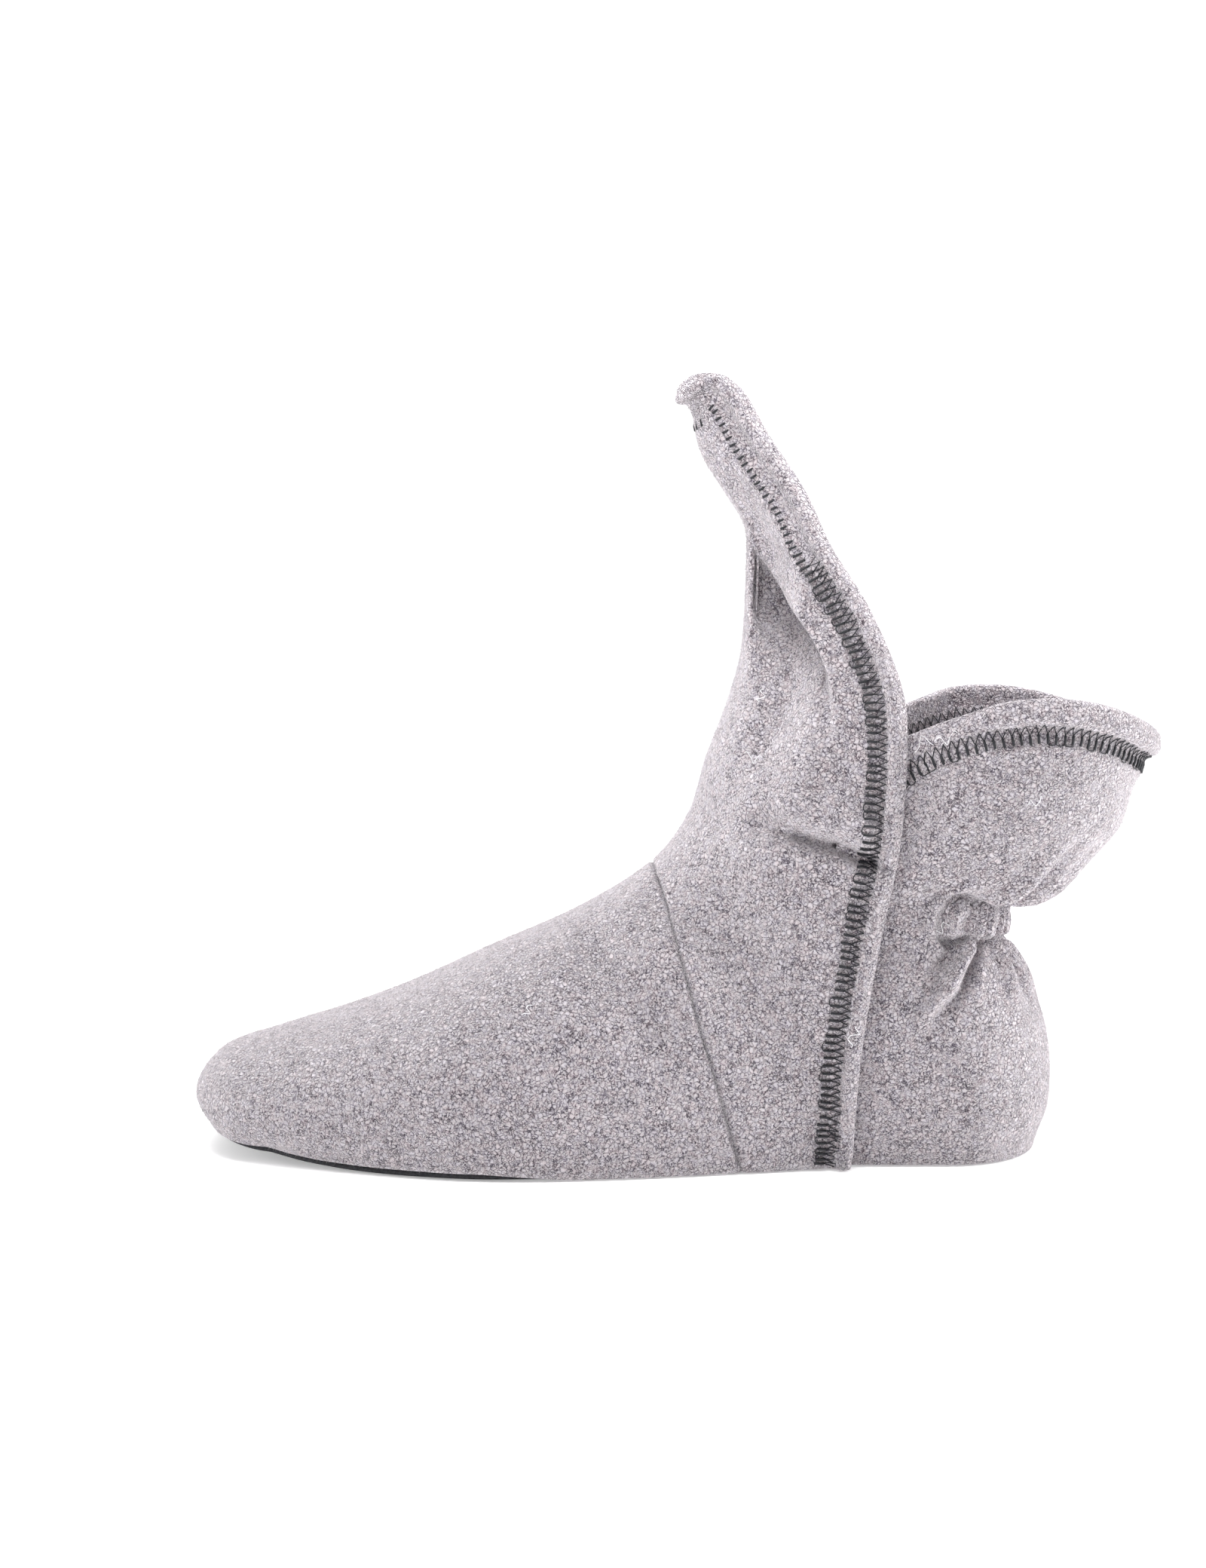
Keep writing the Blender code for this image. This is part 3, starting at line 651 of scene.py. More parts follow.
def hem_profile(inside, fold, pinch):
    """Rise of a turned hem: a rounded full fold as wide as `fold`, drawn down by the stitches
    round `pinch`, and back to the single wall beyond them."""
    full = 1 - ease(FOLD_BLEND[0] * fold, FOLD_BLEND[1] * fold, inside)
    puffed = HEM_PUFF * np.sin(math.pi * np.clip(inside / fold, 0, 1))
    drawn = np.exp(-((inside - pinch) / STITCH_DRAW) ** 4)
    under = HEM_UNDER * (1 - ease(UNDER_BLEND[0] * pinch, UNDER_BLEND[1] * pinch, inside))
    return HEM_STEP * (full + under * (1 - full)) + puffed - HEM_PINCH * drawn


def walled(outer, inner, outside, roll, rings):
    """Closed wall between two grids. Its rim is a half circle of `rings` steps that stands out
    by `roll` times half the wall, square to the border."""
    rows, columns = outer.shape[:2]
    count = rows * columns
    index = np.arange(count).reshape(rows, columns)
    quads = np.stack([index[:-1, :-1], index[:-1, 1:], index[1:, 1:], index[1:, :-1]], -1)
    quads = quads.reshape(-1, 4)
    loop = np.concatenate([index[0, :-1], index[:-1, -1], index[-1, :0:-1], index[:0:-1, 0]])
    top, bottom = outer.reshape(-1, 3)[loop], inner.reshape(-1, 3)[loop]
    inward = np.concatenate([
        (outer[1] - outer[0])[:-1], (outer[:, -2] - outer[:, -1])[:-1],
        (outer[-2] - outer[-1])[:0:-1], (outer[:, 1] - outer[:, 0])[:0:-1]])
    wall = top - bottom
    thick = np.linalg.norm(wall, axis=-1, keepdims=True)
    wall_way = wall / np.maximum(thick, 1e-9)
    away = -(inward - (inward * wall_way).sum(-1, keepdims=True) * wall_way)
    away /= np.maximum(np.linalg.norm(away, axis=-1, keepdims=True), 1e-9)
    size = len(loop)
    reach = roll.reshape(-1)[loop][:, None] * thick / 2
    turns = np.linspace(0, math.pi, rings + 1)[1:-1]
    rims = [(top + bottom) / 2 + wall / 2 * math.cos(turn) + away * reach * math.sin(turn)
            for turn in turns]
    points = np.concatenate([outer.reshape(-1, 3), inner.reshape(-1, 3)] + rims)
    steps = [loop] + [2 * count + size * ring + np.arange(size) for ring in range(rings - 1)]
    steps.append(loop + count)
    sides = [np.stack([np.roll(a, -1), a, b, np.roll(b, -1)], -1)
             for a, b in zip(steps[:-1], steps[1:])]
    faces = np.concatenate([quads, quads[:, ::-1] + count] + sides)
    return points, faces if outside > 0 else faces[:, ::-1]


def turned_under(side, row, x):
    """How far the lower border of the wall is drawn down over the rim of the sole: all of it
    behind the ball, nothing at the toe and away from the border."""
    behind = ease(*map(length_to_x, BALL_BLEND), x)
    near = ease(0.86, 1.0, np.abs(side)) * (1 - ease(CORNER, CORNER + 0.5, row))
    return TURNED_UNDER * behind * near


def front_sheet(rows, columns):
    """Outer face, inner face, rim roll, normals and painted shade (with the sunk thread's tint) of
    the front sheet over the given section numbers."""
    row, side = np.meshgrid(rows, np.linspace(-1, 1, columns + 1), indexing="ij")
    base = upper_surface(row, side)
    dome = np.sin(TIP_TURN * math.pi * np.cos(side * math.pi / 2))
    dome = dome * ease(LAST - TIP_ROWS, LAST, row)
    base[..., [0, 2]] += dome[..., None] * TIP_DOME
    normal = grid_normals(base, 1)
    inside = hem_inside(base, row)
    hemmed = ease(CORNER - HEM_START[0], CORNER - HEM_START[1], row)
    seam = np.abs(row - SEAM_ROW) * SEAM_ROW_LENGTH
    folds, pull = creases(base, side)
    drop, lap = rolled_fold(base, side)
    free = ease(*ROLL_CLEAR, inside)
    lift = folds * ease(*FOLD_CLEAR, inside) + drop * free
    pull = pull * ease(*PULL_CLEAR, inside)[..., None]
    base[..., 0] += lap * free + pull[..., 0]
    base[..., 2] += pull[..., 1]
    lift = lift + hem_profile(inside, FRONT_FOLD, FRONT_BAND[1]) * hemmed
    lift = lift - SEAM_DEPTH * np.exp(-(seam / SEAM_WIDTH) ** 2)
    lift = lift * ease(0, 0.05, 1 - np.abs(side) + hemmed)
    base[..., 2] -= turned_under(side, row, base[..., 0])
    outer = base + normal * lift[..., None]
    inner = base + normal * (np.minimum(lift, 0) - FLEECE)[..., None]
    border = np.abs(side) > AT_BORDER
    on_sole = border & (row <= CORNER) | (row < 1e-6)
    inner[..., 2] = np.where(on_sole, outer[..., 2], inner[..., 2])
    lowest = SOLE_THICKNESS + CLEARANCE - TURNED_UNDER
    for face in (outer, inner):
        face[..., 2] = np.maximum(face[..., 2], lowest)
    at_hem = border & (row > CORNER) | (row > LAST - 1e-6)
    # Painted shade in the seam's groove across the instep.
    shade = SEAM_PAINTED_SHADE * np.exp(-(seam / (0.7 * SEAM_WIDTH)) ** 2)
    # Painted shade in the troughs of the creases, growing from CREASE_START to CREASE_END of depth.
    shade = shade + CREASE_PAINTED_SHADE * ease(CREASE_START, CREASE_END, -folds)
    # Painted shade in the hollow in front of the rolled margin, growing with its depth.
    shade = shade + HOLLOW_PAINTED_SHADE * ease(0, HOLLOW_DEEP, -drop)
    high = ease(*SUNK_LINE_START, base[..., 2] / FLAP_HEIGHT) * (row < LAST - 0.4)
    # Across the flap a little below its tip, where the tip's stitches sink: painted shade beneath
    # the overhanging tip, with the sunk thread's tint.
    beneath_tip = np.exp(-(((LAST - row) * TIP_ROW - FRONT_BAND[1]) / TIP_LINE_WIDTH) ** 2)
    shade = shade + SUNK_LINE_DARK * beneath_tip * (1 - ease(*TIP_LINE_SIDES, np.abs(side)))
    # Along the hem's outer stitch line high on the flap: partly the dark thread sunk in the nap,
    # partly painted shade in the groove it draws.
    along_hem = np.exp(-((inside - FRONT_BAND[0]) / SUNK_LINE_WIDTH) ** 2)
    shade = shade + SUNK_LINE_DARK * high * along_hem
    return outer, inner, at_hem * ease(CORNER, CORNER + 0.15, row), normal, shade


def fleece_wall(name, outer, inner, outside, roll, shade, rings):
    """Fleece piece between two grids. Only its outer face carries the painted shade and the sunk
    thread's tint.
    """
    points, faces = walled(outer, inner, outside, roll, rings)
    shade = np.concatenate([shade.ravel(), np.zeros(len(points) - shade.size)])
    return mesh_piece(name, points, faces, fleece_finish, painted_shade_and_sunk_thread=shade)


near_seam = np.linspace(-SEAM_SPAN, 0, SEAM_LINES + 1)
vamp_rows = np.concatenate([np.linspace(0, SEAM_ROW - SEAM_SPAN, VAMP_GRID[0])[:-1],
                            SEAM_ROW + near_seam])
near_seam = np.linspace(0, SEAM_SPAN, SEAM_LINES + 1)
shaft_rows = np.concatenate([SEAM_ROW + near_seam,
                             np.linspace(SEAM_ROW + SEAM_SPAN, LAST, SHAFT_GRID[0])[1:]])
vamp_outer, inner, roll, vamp_normal, shade = front_sheet(vamp_rows, VAMP_GRID[1])
vamp = fleece_wall("vamp", vamp_outer, inner, -1, roll, shade, rings=2)
shaft_outer, inner, roll, shaft_normal, shade = front_sheet(shaft_rows, SHAFT_GRID[1])
front_shaft = fleece_wall("front_shaft", shaft_outer, inner, -1, roll, shade, rings=6)
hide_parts("upper")
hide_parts("upper")

# Back quarter
# One piece of the same fleece round the heel, tucked inside the front's hems at both sides. It is
# drawn in at the waist, opens to a collar that leans back past the heel, and its top is hemmed.

COLLAR_HEIGHT = 0.138
COLLAR_WIDTH = 0.088
COLLAR_REACH = 0.1625
COLLAR_ARCH = 0.017
COLLAR_DROP = 0.012
COLLAR_FRONT_DROP = 0.008
LATERAL_DROP = 0.0035
HEEL_BULGE = 0.0045
WAIST_HEIGHT = 0.066
WAIST_DEPTH = 0.012
WAIST_WIDTH = 0.062
HEEL_SPAN = 0.52
LAP_CLEARANCE = 0.0006
LAP_REST = 0.004
COLLAR_OPENING_SLOPE = 0.75
COLLAR_TOP_REACH = 2.42
COLLAR_FOLD = 0.0054
COLLAR_BAND = (0.0055, 0.0083, 0.0111)
COLLAR_LEAN = 1.08
LAP_SIDES = (0.60, 0.72)
LAP_BLEND = 0.003

# Side view covered by the table of room under the hems: start, cell and number of cells
ROOM_START = 0.02
ROOM_CELL = 0.002
ROOM_CELLS = 75

# Level (1 waist, 2 collar), reach past heel and waist, heel, waist and collar widths, side arch
QUARTER_LEVELS = np.array([
    (0.00, 0.00, 0.00, 1.00, 0.00, 0.00, 0.00),
    (0.20, 1.00, 0.00, 1.11, 0.00, 0.00, 0.00),
    (0.50, 0.90, 0.00, 1.14, 0.00, 0.00, 0.00),
    (0.78, 0.10, -0.16, 0.60, 0.50, 0.00, 0.14),
    (0.92, 0.00, -0.62, 0.20, 0.82, 0.00, 0.28),
    (1.00, 0.00, -1.00, 0.00, 1.00, 0.00, 0.36),
    (1.15, 0.00, -0.78, 0.00, 0.92, 0.08, 0.42),
    (1.28, 0.00, 0.40, 0.00, 0.55, 0.42, 0.48),
    (1.52, 0.00, 1.60, 0.00, 0.22, 0.76, 0.64),
    (1.76, 0.00, 1.98, 0.00, 0.08, 0.92, 0.82),
    (2.00, 0.00, 2.42, 0.00, 0.00, 1.00, 1.00),
])

# Gathers below the waist: place round the heel, half width there, height of the ridge in
# millimetres (below 0 a trough), how far it runs down and how much it drifts on the way
GATHERS = np.array([
    (-0.385, 0.024, -2.6, 0.40, -0.290),
    (-0.325, 0.026, 4.4, 0.52, -0.400),
    (-0.283, 0.016, -5.0, 0.46, -0.340),
    (-0.238, 0.022, 3.2, 0.50, -0.060),
    (-0.196, 0.016, -3.4, 0.42, 0.020),
    (-0.155, 0.022, 1.8, 0.40, 0.010),
    (-0.105, 0.020, -1.9, 0.40, 0.005),
    (-0.045, 0.022, 1.9, 0.38, 0.000),
    (0.015, 0.018, -2.0, 0.42, 0.000),
    (0.075, 0.022, 2.0, 0.40, -0.010),
    (0.135, 0.018, -2.2, 0.38, -0.010),
    (0.190, 0.020, 2.0, 0.42, -0.010),
    (0.240, 0.018, -2.4, 0.40, 0.000),
    (0.290, 0.022, 2.6, 0.46, 0.060),
    (0.335, 0.018, -2.2, 0.36, 0.090),
    (-0.455, 0.024, -1.7, 0.24, -0.040),
    (0.400, 0.026, 1.8, 0.34, 0.080),
])
END_RIDGE = 0.0026
END_RIDGE_PLACE = 0.462
END_RIDGE_WIDTH = 0.020
END_RIDGE_SPAN = (0.88, 0.95, 1.15, 1.30)
GATHER_SPREAD = 0.7
ABOVE_SHARE = 0.6
ABOVE_WIDTH = 1.4
ABOVE_SPAN = (0.14, 0.20, 0.20, 0.55)
CASING_GROOVE = 0.0012
CASING_SEAMS = (0.970, 1.168)
CASING_SEAM_WIDTH = 0.016
CASING_SEAM_END = (0.42, 0.47)
CASING_SEAM_PAINTED_SHADE = 0.4
OVERHANG = 0.0034
OVERHANG_LEVEL = 1.235
OVERHANG_WIDTH = 0.050
OVERHANG_END = (0.36, 0.52)
QUARTER_GRID = (156, 240)


def quarter_rows():
    """Back centre, front margin, arch and half width of the quarter at each level."""
    level, heel, reach, heel_width, waist_width, collar_width, arch = QUARTER_LEVELS.T
    base = SOLE_THICKNESS + CLEARANCE
    back_z = base + np.minimum(level, 1) * (WAIST_HEIGHT - base)
    back_z = back_z + np.maximum(level - 1, 0) * (COLLAR_HEIGHT - COLLAR_DROP - WAIST_HEIGHT)
    heel_x = length_to_x(HEEL_ALONG)
    flare = (COLLAR_REACH - heel_x) / COLLAR_TOP_REACH
    front_z = back_z - arch * COLLAR_FRONT_DROP
    hem_x = through_places(UPPER["edge_z"][CORNER:], UPPER["edge_x"][CORNER:], front_z)
    half = heel_width * HEEL_WIDTH + waist_width * WAIST_WIDTH + collar_width * COLLAR_WIDTH
    return {
        "back_x": heel_x + heel * HEEL_BULGE + np.where(reach < 0, WAIST_DEPTH, flare) * reach,
        "back_z": back_z,
        "front_x": hem_x - LAP,
        "front_z": front_z,
        "arch": arch * COLLAR_ARCH,
        "drop": arch * LATERAL_DROP,
        "half": half / 2,
    }


QUARTER = quarter_rows()
TOP = len(QUARTER_LEVELS) - 1


def room_under_hem():
    """Table over the side view of how far out the quarter may stand under each front edge: |y|
    of the front sheet on the section through that place, less its wall and the lap clearance."""
    across = np.linspace(0, ROOM_CELLS * ROOM_CELL, ROOM_CELLS + 1)
    x, z = np.meshgrid(ROOM_START + across, across, indexing="ij")
    rows = np.linspace(CORNER - 1.5, LAST, 500)
    edge_x, edge_z = upper_at("edge_x", rows), upper_at("edge_z", rows)
    line_x, line_z = upper_at("ridge_x", rows) - edge_x, upper_at("ridge_z", rows) - edge_z
    off = line_x * (z[..., None] - edge_z) - line_z * (x[..., None] - edge_x)
    row = rows[np.argmin(np.abs(off) / np.hypot(line_x, line_z), axis=-1)]
    line_x, line_z = (upper_at("ridge_x", row) - upper_at("edge_x", row),
                      upper_at("ridge_z", row) - upper_at("edge_z", row))
    up = (x - upper_at("edge_x", row)) * line_x + (z - upper_at("edge_z", row)) * line_z
    up = np.clip(up / (line_x**2 + line_z**2), 0, 1) ** (upper_at("round", row) / 2)
    turn = np.clip(np.arccos(up) * 2 / math.pi, 0.02, 0.97)
    rooms = []
    for sign in (-1, 1):
        step = 0.01
        along = upper_surface(row + step, sign * turn) - upper_surface(row - step, sign * turn)
        across = upper_surface(row, sign * (turn + step)) - upper_surface(row, sign * (turn - step))
        normal = np.cross(along, across)
        slant = np.abs(normal[..., 1]) / np.linalg.norm(normal, axis=-1)
        wall = (FLEECE + LAP_CLEARANCE) / slant
        rooms.append(np.abs(upper_surface(row, sign * turn)[..., 1]) - wall)
    return rooms


ROOM = room_under_hem()


def bilinear(grid, at_i, at_j):
    """Value of a grid of numbers or points at fractional row and column numbers."""
    at_i = np.clip(at_i, 0, grid.shape[0] - 1.001)
    at_j = np.clip(at_j, 0, grid.shape[1] - 1.001)
    i, j = at_i.astype(int), at_j.astype(int)
    u, v = at_i - i, at_j - j
    if grid.ndim > 2:
        u, v = u[..., None], v[..., None]
    near = grid[i, j] * (1 - u) + grid[i + 1, j] * u
    far = grid[i, j + 1] * (1 - u) + grid[i + 1, j + 1] * u
    return near * (1 - v) + far * v


def quarter_surface(row, side):
    """Outer face: each level is a half superellipse round the heel with a straight run forward
    on each side, kept inside the front where they lap and opening out behind its hem."""
    at = {name: through(values, row) for name, values in QUARTER.items()}
    turn = np.minimum(np.abs(side) / HEEL_SPAN, 1) * math.pi / 2
    straight = np.maximum(np.abs(side) - HEEL_SPAN, 0) / (1 - HEEL_SPAN)
    power = 2 / HEEL_ROUND
    start = at["back_x"] - at["half"]
    x = start + at["half"] * np.clip(np.cos(turn), 0, 1) ** power
    x = x + (at["front_x"] - start) * straight
    share = (x - at["front_x"]) / (at["back_x"] - at["front_x"])
    z = at["front_z"] + (at["back_z"] - at["front_z"]) * share
    z = z + 4 * at["arch"] * share * (1 - share)
    z = z - np.where(side < 0, at["drop"], 0) * (1 - share) ** 2
    lateral, medial = (bilinear(room, (x - ROOM_START) / ROOM_CELL, z / ROOM_CELL)
                       for room in ROOM)
    room = np.where(side < 0, lateral, medial)
    hem_x = through_places(UPPER["edge_z"][CORNER:], UPPER["edge_x"][CORNER:], z)
    room = room + COLLAR_OPENING_SLOPE * np.maximum(x - hem_x - LAP_REST, 0)
    own = at["half"] * np.sin(turn) ** power
    near = np.maximum(LAP_BLEND - np.abs(own - room), 0) / LAP_BLEND
    reach = np.maximum(np.minimum(own, room) - near * near * LAP_BLEND / 4, 0)
    return np.stack([x, np.sign(side) * reach, z], axis=-1)


def gathers(level, side):
    """Height of the gathers: Gaussians round the heel that fade down from the waist, a puffed
    ridge at each end of the casing and a soft roll that hangs over its upper seam."""
    height = np.zeros(level.shape)
    down = 1 - level
    for place, wide, rise, run, drift in GATHERS:
        fade = (1 - ease(0.1, 1, down / run)) * ease(-0.03, 0.05, down)
        centre = place + drift * np.maximum(down, 0) / run
        spread = wide * (1 + GATHER_SPREAD * np.maximum(down, 0) / run)
        height += rise * MILLIMETRE * np.exp(-((side - centre) / spread) ** 2) * fade
        above = ABOVE_SHARE * rise * MILLIMETRE * plateau(ABOVE_SPAN, -down)
        height += above * np.exp(-((side - place) / (ABOVE_WIDTH * wide)) ** 2)
    ridge = np.exp(-((np.abs(side) - END_RIDGE_PLACE) / END_RIDGE_WIDTH) ** 2)
    height += END_RIDGE * ridge * plateau(END_RIDGE_SPAN, level)
    roll = np.where(level < OVERHANG_LEVEL, (OVERHANG_LEVEL - level) / OVERHANG_WIDTH,
                    (level - OVERHANG_LEVEL) / (3 * OVERHANG_WIDTH))
    height += OVERHANG * np.exp(-roll * roll) * (1 - ease(*OVERHANG_END, np.abs(side)))
    return height - CASING_GROOVE * casing_edges(level, side)


def casing_edges(level, side):
    """1 along the lines where the casing is sewn down, just outside its two long edges."""
    low, high = (np.exp(-((level - seam) / CASING_SEAM_WIDTH) ** 2) for seam in CASING_SEAMS)
    return (low + high) * (1 - ease(*CASING_SEAM_END, np.abs(side)))


quarter_row, quarter_side = np.meshgrid(np.linspace(0, TOP, QUARTER_GRID[0] + 1),
                                        np.linspace(-1, 1, QUARTER_GRID[1] + 1), indexing="ij")
base = quarter_surface(quarter_row, quarter_side)
quarter_normal = grid_normals(base, -1)
quarter_level = np.interp(quarter_row, np.arange(TOP + 1), QUARTER_LEVELS[:, 0])
collar_inside = QUARTER["back_z"][-1] - through(QUARTER["back_z"], quarter_row)
clear_of_lap = 1 - ease(*LAP_SIDES, np.abs(quarter_side))
quarter_lift = hem_profile(collar_inside * COLLAR_LEAN, COLLAR_FOLD, COLLAR_BAND[1]) * clear_of_lap
quarter_lift = quarter_lift + gathers(quarter_level, quarter_side) * clear_of_lap
quarter_outer = base + quarter_normal * quarter_lift[..., None]
quarter_inner = base + quarter_normal * (np.minimum(quarter_lift, 0) - FLEECE)[..., None]
lowered = TURNED_UNDER * (1 - ease(0, 0.5, quarter_row))
quarter_outer[..., 2] -= lowered
quarter_inner[..., 2] -= lowered
quarter_inner[0, :, 2] = quarter_outer[0, :, 2]
quarter_roll = np.zeros(quarter_row.shape)
quarter_roll[-1] = 1.0
# Painted shade in the grooves just outside the casing's sewn edges.
quarter_shade = CASING_SEAM_PAINTED_SHADE * casing_edges(quarter_level, quarter_side)
back_quarter = fleece_wall("heel_quarter", quarter_outer, quarter_inner, 1, quarter_roll,
                           quarter_shade, rings=6)
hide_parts("back_quarter")

# Elastic casing
# A strip of the same fleece sewn down along both edges over the back of the waist, with elastic
# drawn through it. The elastic pulls it into short upright puckers.

CASING_LEVELS = (0.985, 1.151)
CASING_END = 0.42
CASING_RISE = 0.0030
CASING_GRID = (36, 300)
PUCKER = 0.050
PUCKER_SHARE = (0.85, 0.34)
PUCKER_LEAN = 0.6
CASING_END_FADE = 0.93
CROWN_POWER = 3.2
EDGE_WAVE = 0.10
CASING_OFF = (0.0006, 0.0002)

row_low, row_high = np.interp(CASING_LEVELS, QUARTER_LEVELS[:, 0], np.arange(TOP + 1))
across, casing_side = np.meshgrid(
    np.linspace(0, 1, CASING_GRID[0] + 1),
    np.linspace(-CASING_END, CASING_END, CASING_GRID[1] + 1), indexing="ij")
wobble = 0.010 * np.sin(41 * casing_side) + 0.006 * np.sin(97 * casing_side + 1.0)
pucker = np.sin((casing_side + wobble) * 2 * math.pi / PUCKER + PUCKER_LEAN * np.sin(5 * across))
casing_row = row_low + (row_high - row_low) * across + EDGE_WAVE * pucker * (2 * across - 1) ** 3
base = quarter_surface(casing_row, casing_side)
casing_normal = grid_normals(base, -1)
ends = 1 - ease(CASING_END_FADE, 1.0, np.abs(casing_side) / CASING_END)
crown = (1 - np.abs(2 * across - 1) ** CROWN_POWER) * ends
lift = CASING_RISE * crown * (PUCKER_SHARE[0] + PUCKER_SHARE[1] * pucker)
casing_outer = base + casing_normal * (CASING_OFF[0] + lift)[..., None]
casing_inner = base + casing_normal * CASING_OFF[1]
points, faces = walled(casing_outer, casing_inner, 1, np.zeros(casing_row.shape), rings=2)
# Its first colour is the painted shade between the nubs.
casing_finish = polar_fleece("gathered_polar_fleece", "#343038", "#8d868c", "#c2bcc0")
casing = mesh_piece("casing", points, faces, casing_finish)
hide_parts("elastic_casing")

# Cover stitching
# Near-black spun polyester thread. A bar crosses the inner half of the band at each stitch, one in
# four is joined to the next by a small loop, and at mid-band it forks into two thin legs that
# run zigzag to the hem side. The machine draws the fleece down under it.

FRONT_PITCH = 0.0023
COLLAR_PITCH = 0.00265
BAR_RADIUS = 0.00040
LEG_RADIUS = 0.00016
BAR_LIFT = 0.00042
LEG_LIFT = 0.00030
SINKING = 0.0011
SINKING_BLEND = 0.016
BAR_SUNK = (0.35, 0.65)
BAR_ARCH = 0.0002
LOOP_DEPTH = 0.0005
BAND_END = 0.4
STRIP_STEP = 0.0005
STRIP_DEPTH = 0.017
PITCH_SCATTER = 0.00012
THREAD_SWAY = 0.00016
LEG_SPREAD = (0.58, -0.34)
BAR_SLANT = 0.05
LINKED_SHARE = 0.25
HEIGHT_COLUMN = 16

# Heights above which the thread of the front bands, the tip's and the collar's sinks in
FRONT_SUNK = 0.172
TIP_SUNK = 0.2
COLLAR_SUNK = 0.3


def spun_thread():
    """Spun polyester sewing thread, near black with a blue tinge: fine twisted plies, soft
    shine along the twist."""
    finish, tree, shader = new_finish("spun_polyester_thread", {"Roughness": 0.6})
    ply = noise(tree, 3800.0, 2.0).outputs["Fac"]
    tone = ramp(tree, ply, [(0.35, "#08090d"), (0.7, "#1d1f28")])
    coloured_relief(tree, shader, tone.outputs["Color"], ply, 0.4, 0.0001)
    return finish


def square_strip(surface, row, side, inward):
    """Section and side numbers of an even grid along and in from a border. The border is read at
    even arc length; from each of its points a line walks in over the surface, square to the
    border, and every step is solved from the surface's slopes along its two directions."""
    border = surface(row, side)
    length = np.concatenate([[0], np.cumsum(np.linalg.norm(np.diff(border, axis=0), axis=-1))])
    even = np.arange(0, length[-1], STRIP_STEP)
    row, side = np.interp(even, length, row), np.interp(even, length, side)
    tangent = np.gradient(surface(row, side), axis=0)
    nudge, way, lines = 1e-3, None, [(row, side)]
    for _ in range(int(STRIP_DEPTH / STRIP_STEP)):
        back, ahead = np.clip(side - nudge, -1, 1), np.clip(side + nudge, -1, 1)
        by_row = (surface(row + nudge, side) - surface(row - nudge, side)) / (2 * nudge)
        by_side = (surface(row, ahead) - surface(row, back)) / (ahead - back)[:, None]
        normal = np.cross(by_row, by_side)
        normal /= np.linalg.norm(normal, axis=-1, keepdims=True)
        if way is None:
            way = np.cross(normal, tangent)
            into = by_row * inward[0] + by_side * inward[1]
            way *= np.sign((way * into).sum(-1, keepdims=True))
        way = way - normal * (way * normal).sum(-1, keepdims=True)
        way /= np.linalg.norm(way, axis=-1, keepdims=True)
        rr, rs, ss = ((a * b).sum(-1) for a, b in
                      ((by_row, by_row), (by_row, by_side), (by_side, by_side)))
        wr, ws = (way * by_row).sum(-1), (way * by_side).sum(-1)
        area = rr * ss - rs * rs
        row = row + STRIP_STEP * (wr * ss - ws * rs) / area
        side = side + STRIP_STEP * (ws * rr - wr * rs) / area
        lines.append((row, side))
    return np.stack([line[0] for line in lines], 1), np.stack([line[1] for line in lines], 1)


def read_grid(grid, rows, sides, row, side):
    """Bilinear reading of a grid at section and side numbers."""
    return bilinear(grid, np.interp(row, rows, np.arange(len(rows))),
                    np.interp(side, sides, np.arange(len(sides))))


def on_strip(strip, normal, along, inward, lift):
    """Points at (along, inward) on an even strip, lifted along its normals: bilinear."""
    place, way = (bilinear(grid, along / STRIP_STEP, inward / STRIP_STEP)
                  for grid in (strip, normal))
    return place + way * lift[..., None]


def tubes(paths, radius, sides):
    """Closed tubes along many paths (count, points, 3) at once: a ring of `sides` points square
    to the path at each of its points, and a fan at each end."""
    count, steps = paths.shape[:2]
    tangent = np.gradient(paths, axis=1)
    tangent /= np.maximum(np.linalg.norm(tangent, axis=-1, keepdims=True), 1e-12)
    helper = np.where(np.abs(tangent[..., 2:]) < 0.8, [0.0, 0.0, 1.0], [1.0, 0.0, 0.0])
    first = np.cross(tangent, helper)
    first /= np.linalg.norm(first, axis=-1, keepdims=True)
    second = np.cross(tangent, first)
    turn = np.arange(sides) * 2 * math.pi / sides
    ring = first[..., None, :] * np.cos(turn)[:, None]
    ring = ring + second[..., None, :] * np.sin(turn)[:, None]
    body = paths[..., None, :] + radius * ring
    per = steps * sides + 2
    body = body.reshape(count, steps * sides, 3)
    points = np.concatenate([body, paths[:, :1], paths[:, -1:]], axis=1)
    step, corner = np.meshgrid(np.arange(steps - 1), np.arange(sides), indexing="ij")
    a = step * sides + corner
    b = step * sides + (corner + 1) % sides
    walls = triangles(np.stack([a, b, b + sides, a + sides], -1).reshape(-1, 4))
    ends = np.arange(sides)
    following = (ends + 1) % sides
    last = (steps - 1) * sides
    start_fan = np.column_stack([following, ends, np.full(sides, steps * sides)])
    end_fan = np.column_stack([ends + last, following + last, np.full(sides, steps * sides + 1)])
    faces = np.concatenate([walls, start_fan, end_fan])
    faces = (faces[None] + np.arange(count)[:, None, None] * per).reshape(-1, 3)
    return points.reshape(-1, 3), faces


def joined(parts):
    """Points and triangles of several (points, faces) pairs as one."""
    offsets = np.cumsum([0] + [len(p) for p, _ in parts[:-1]])
    return (np.concatenate([p for p, _ in parts]),
            np.concatenate([f + offset for (_, f), offset in zip(parts, offsets)]))


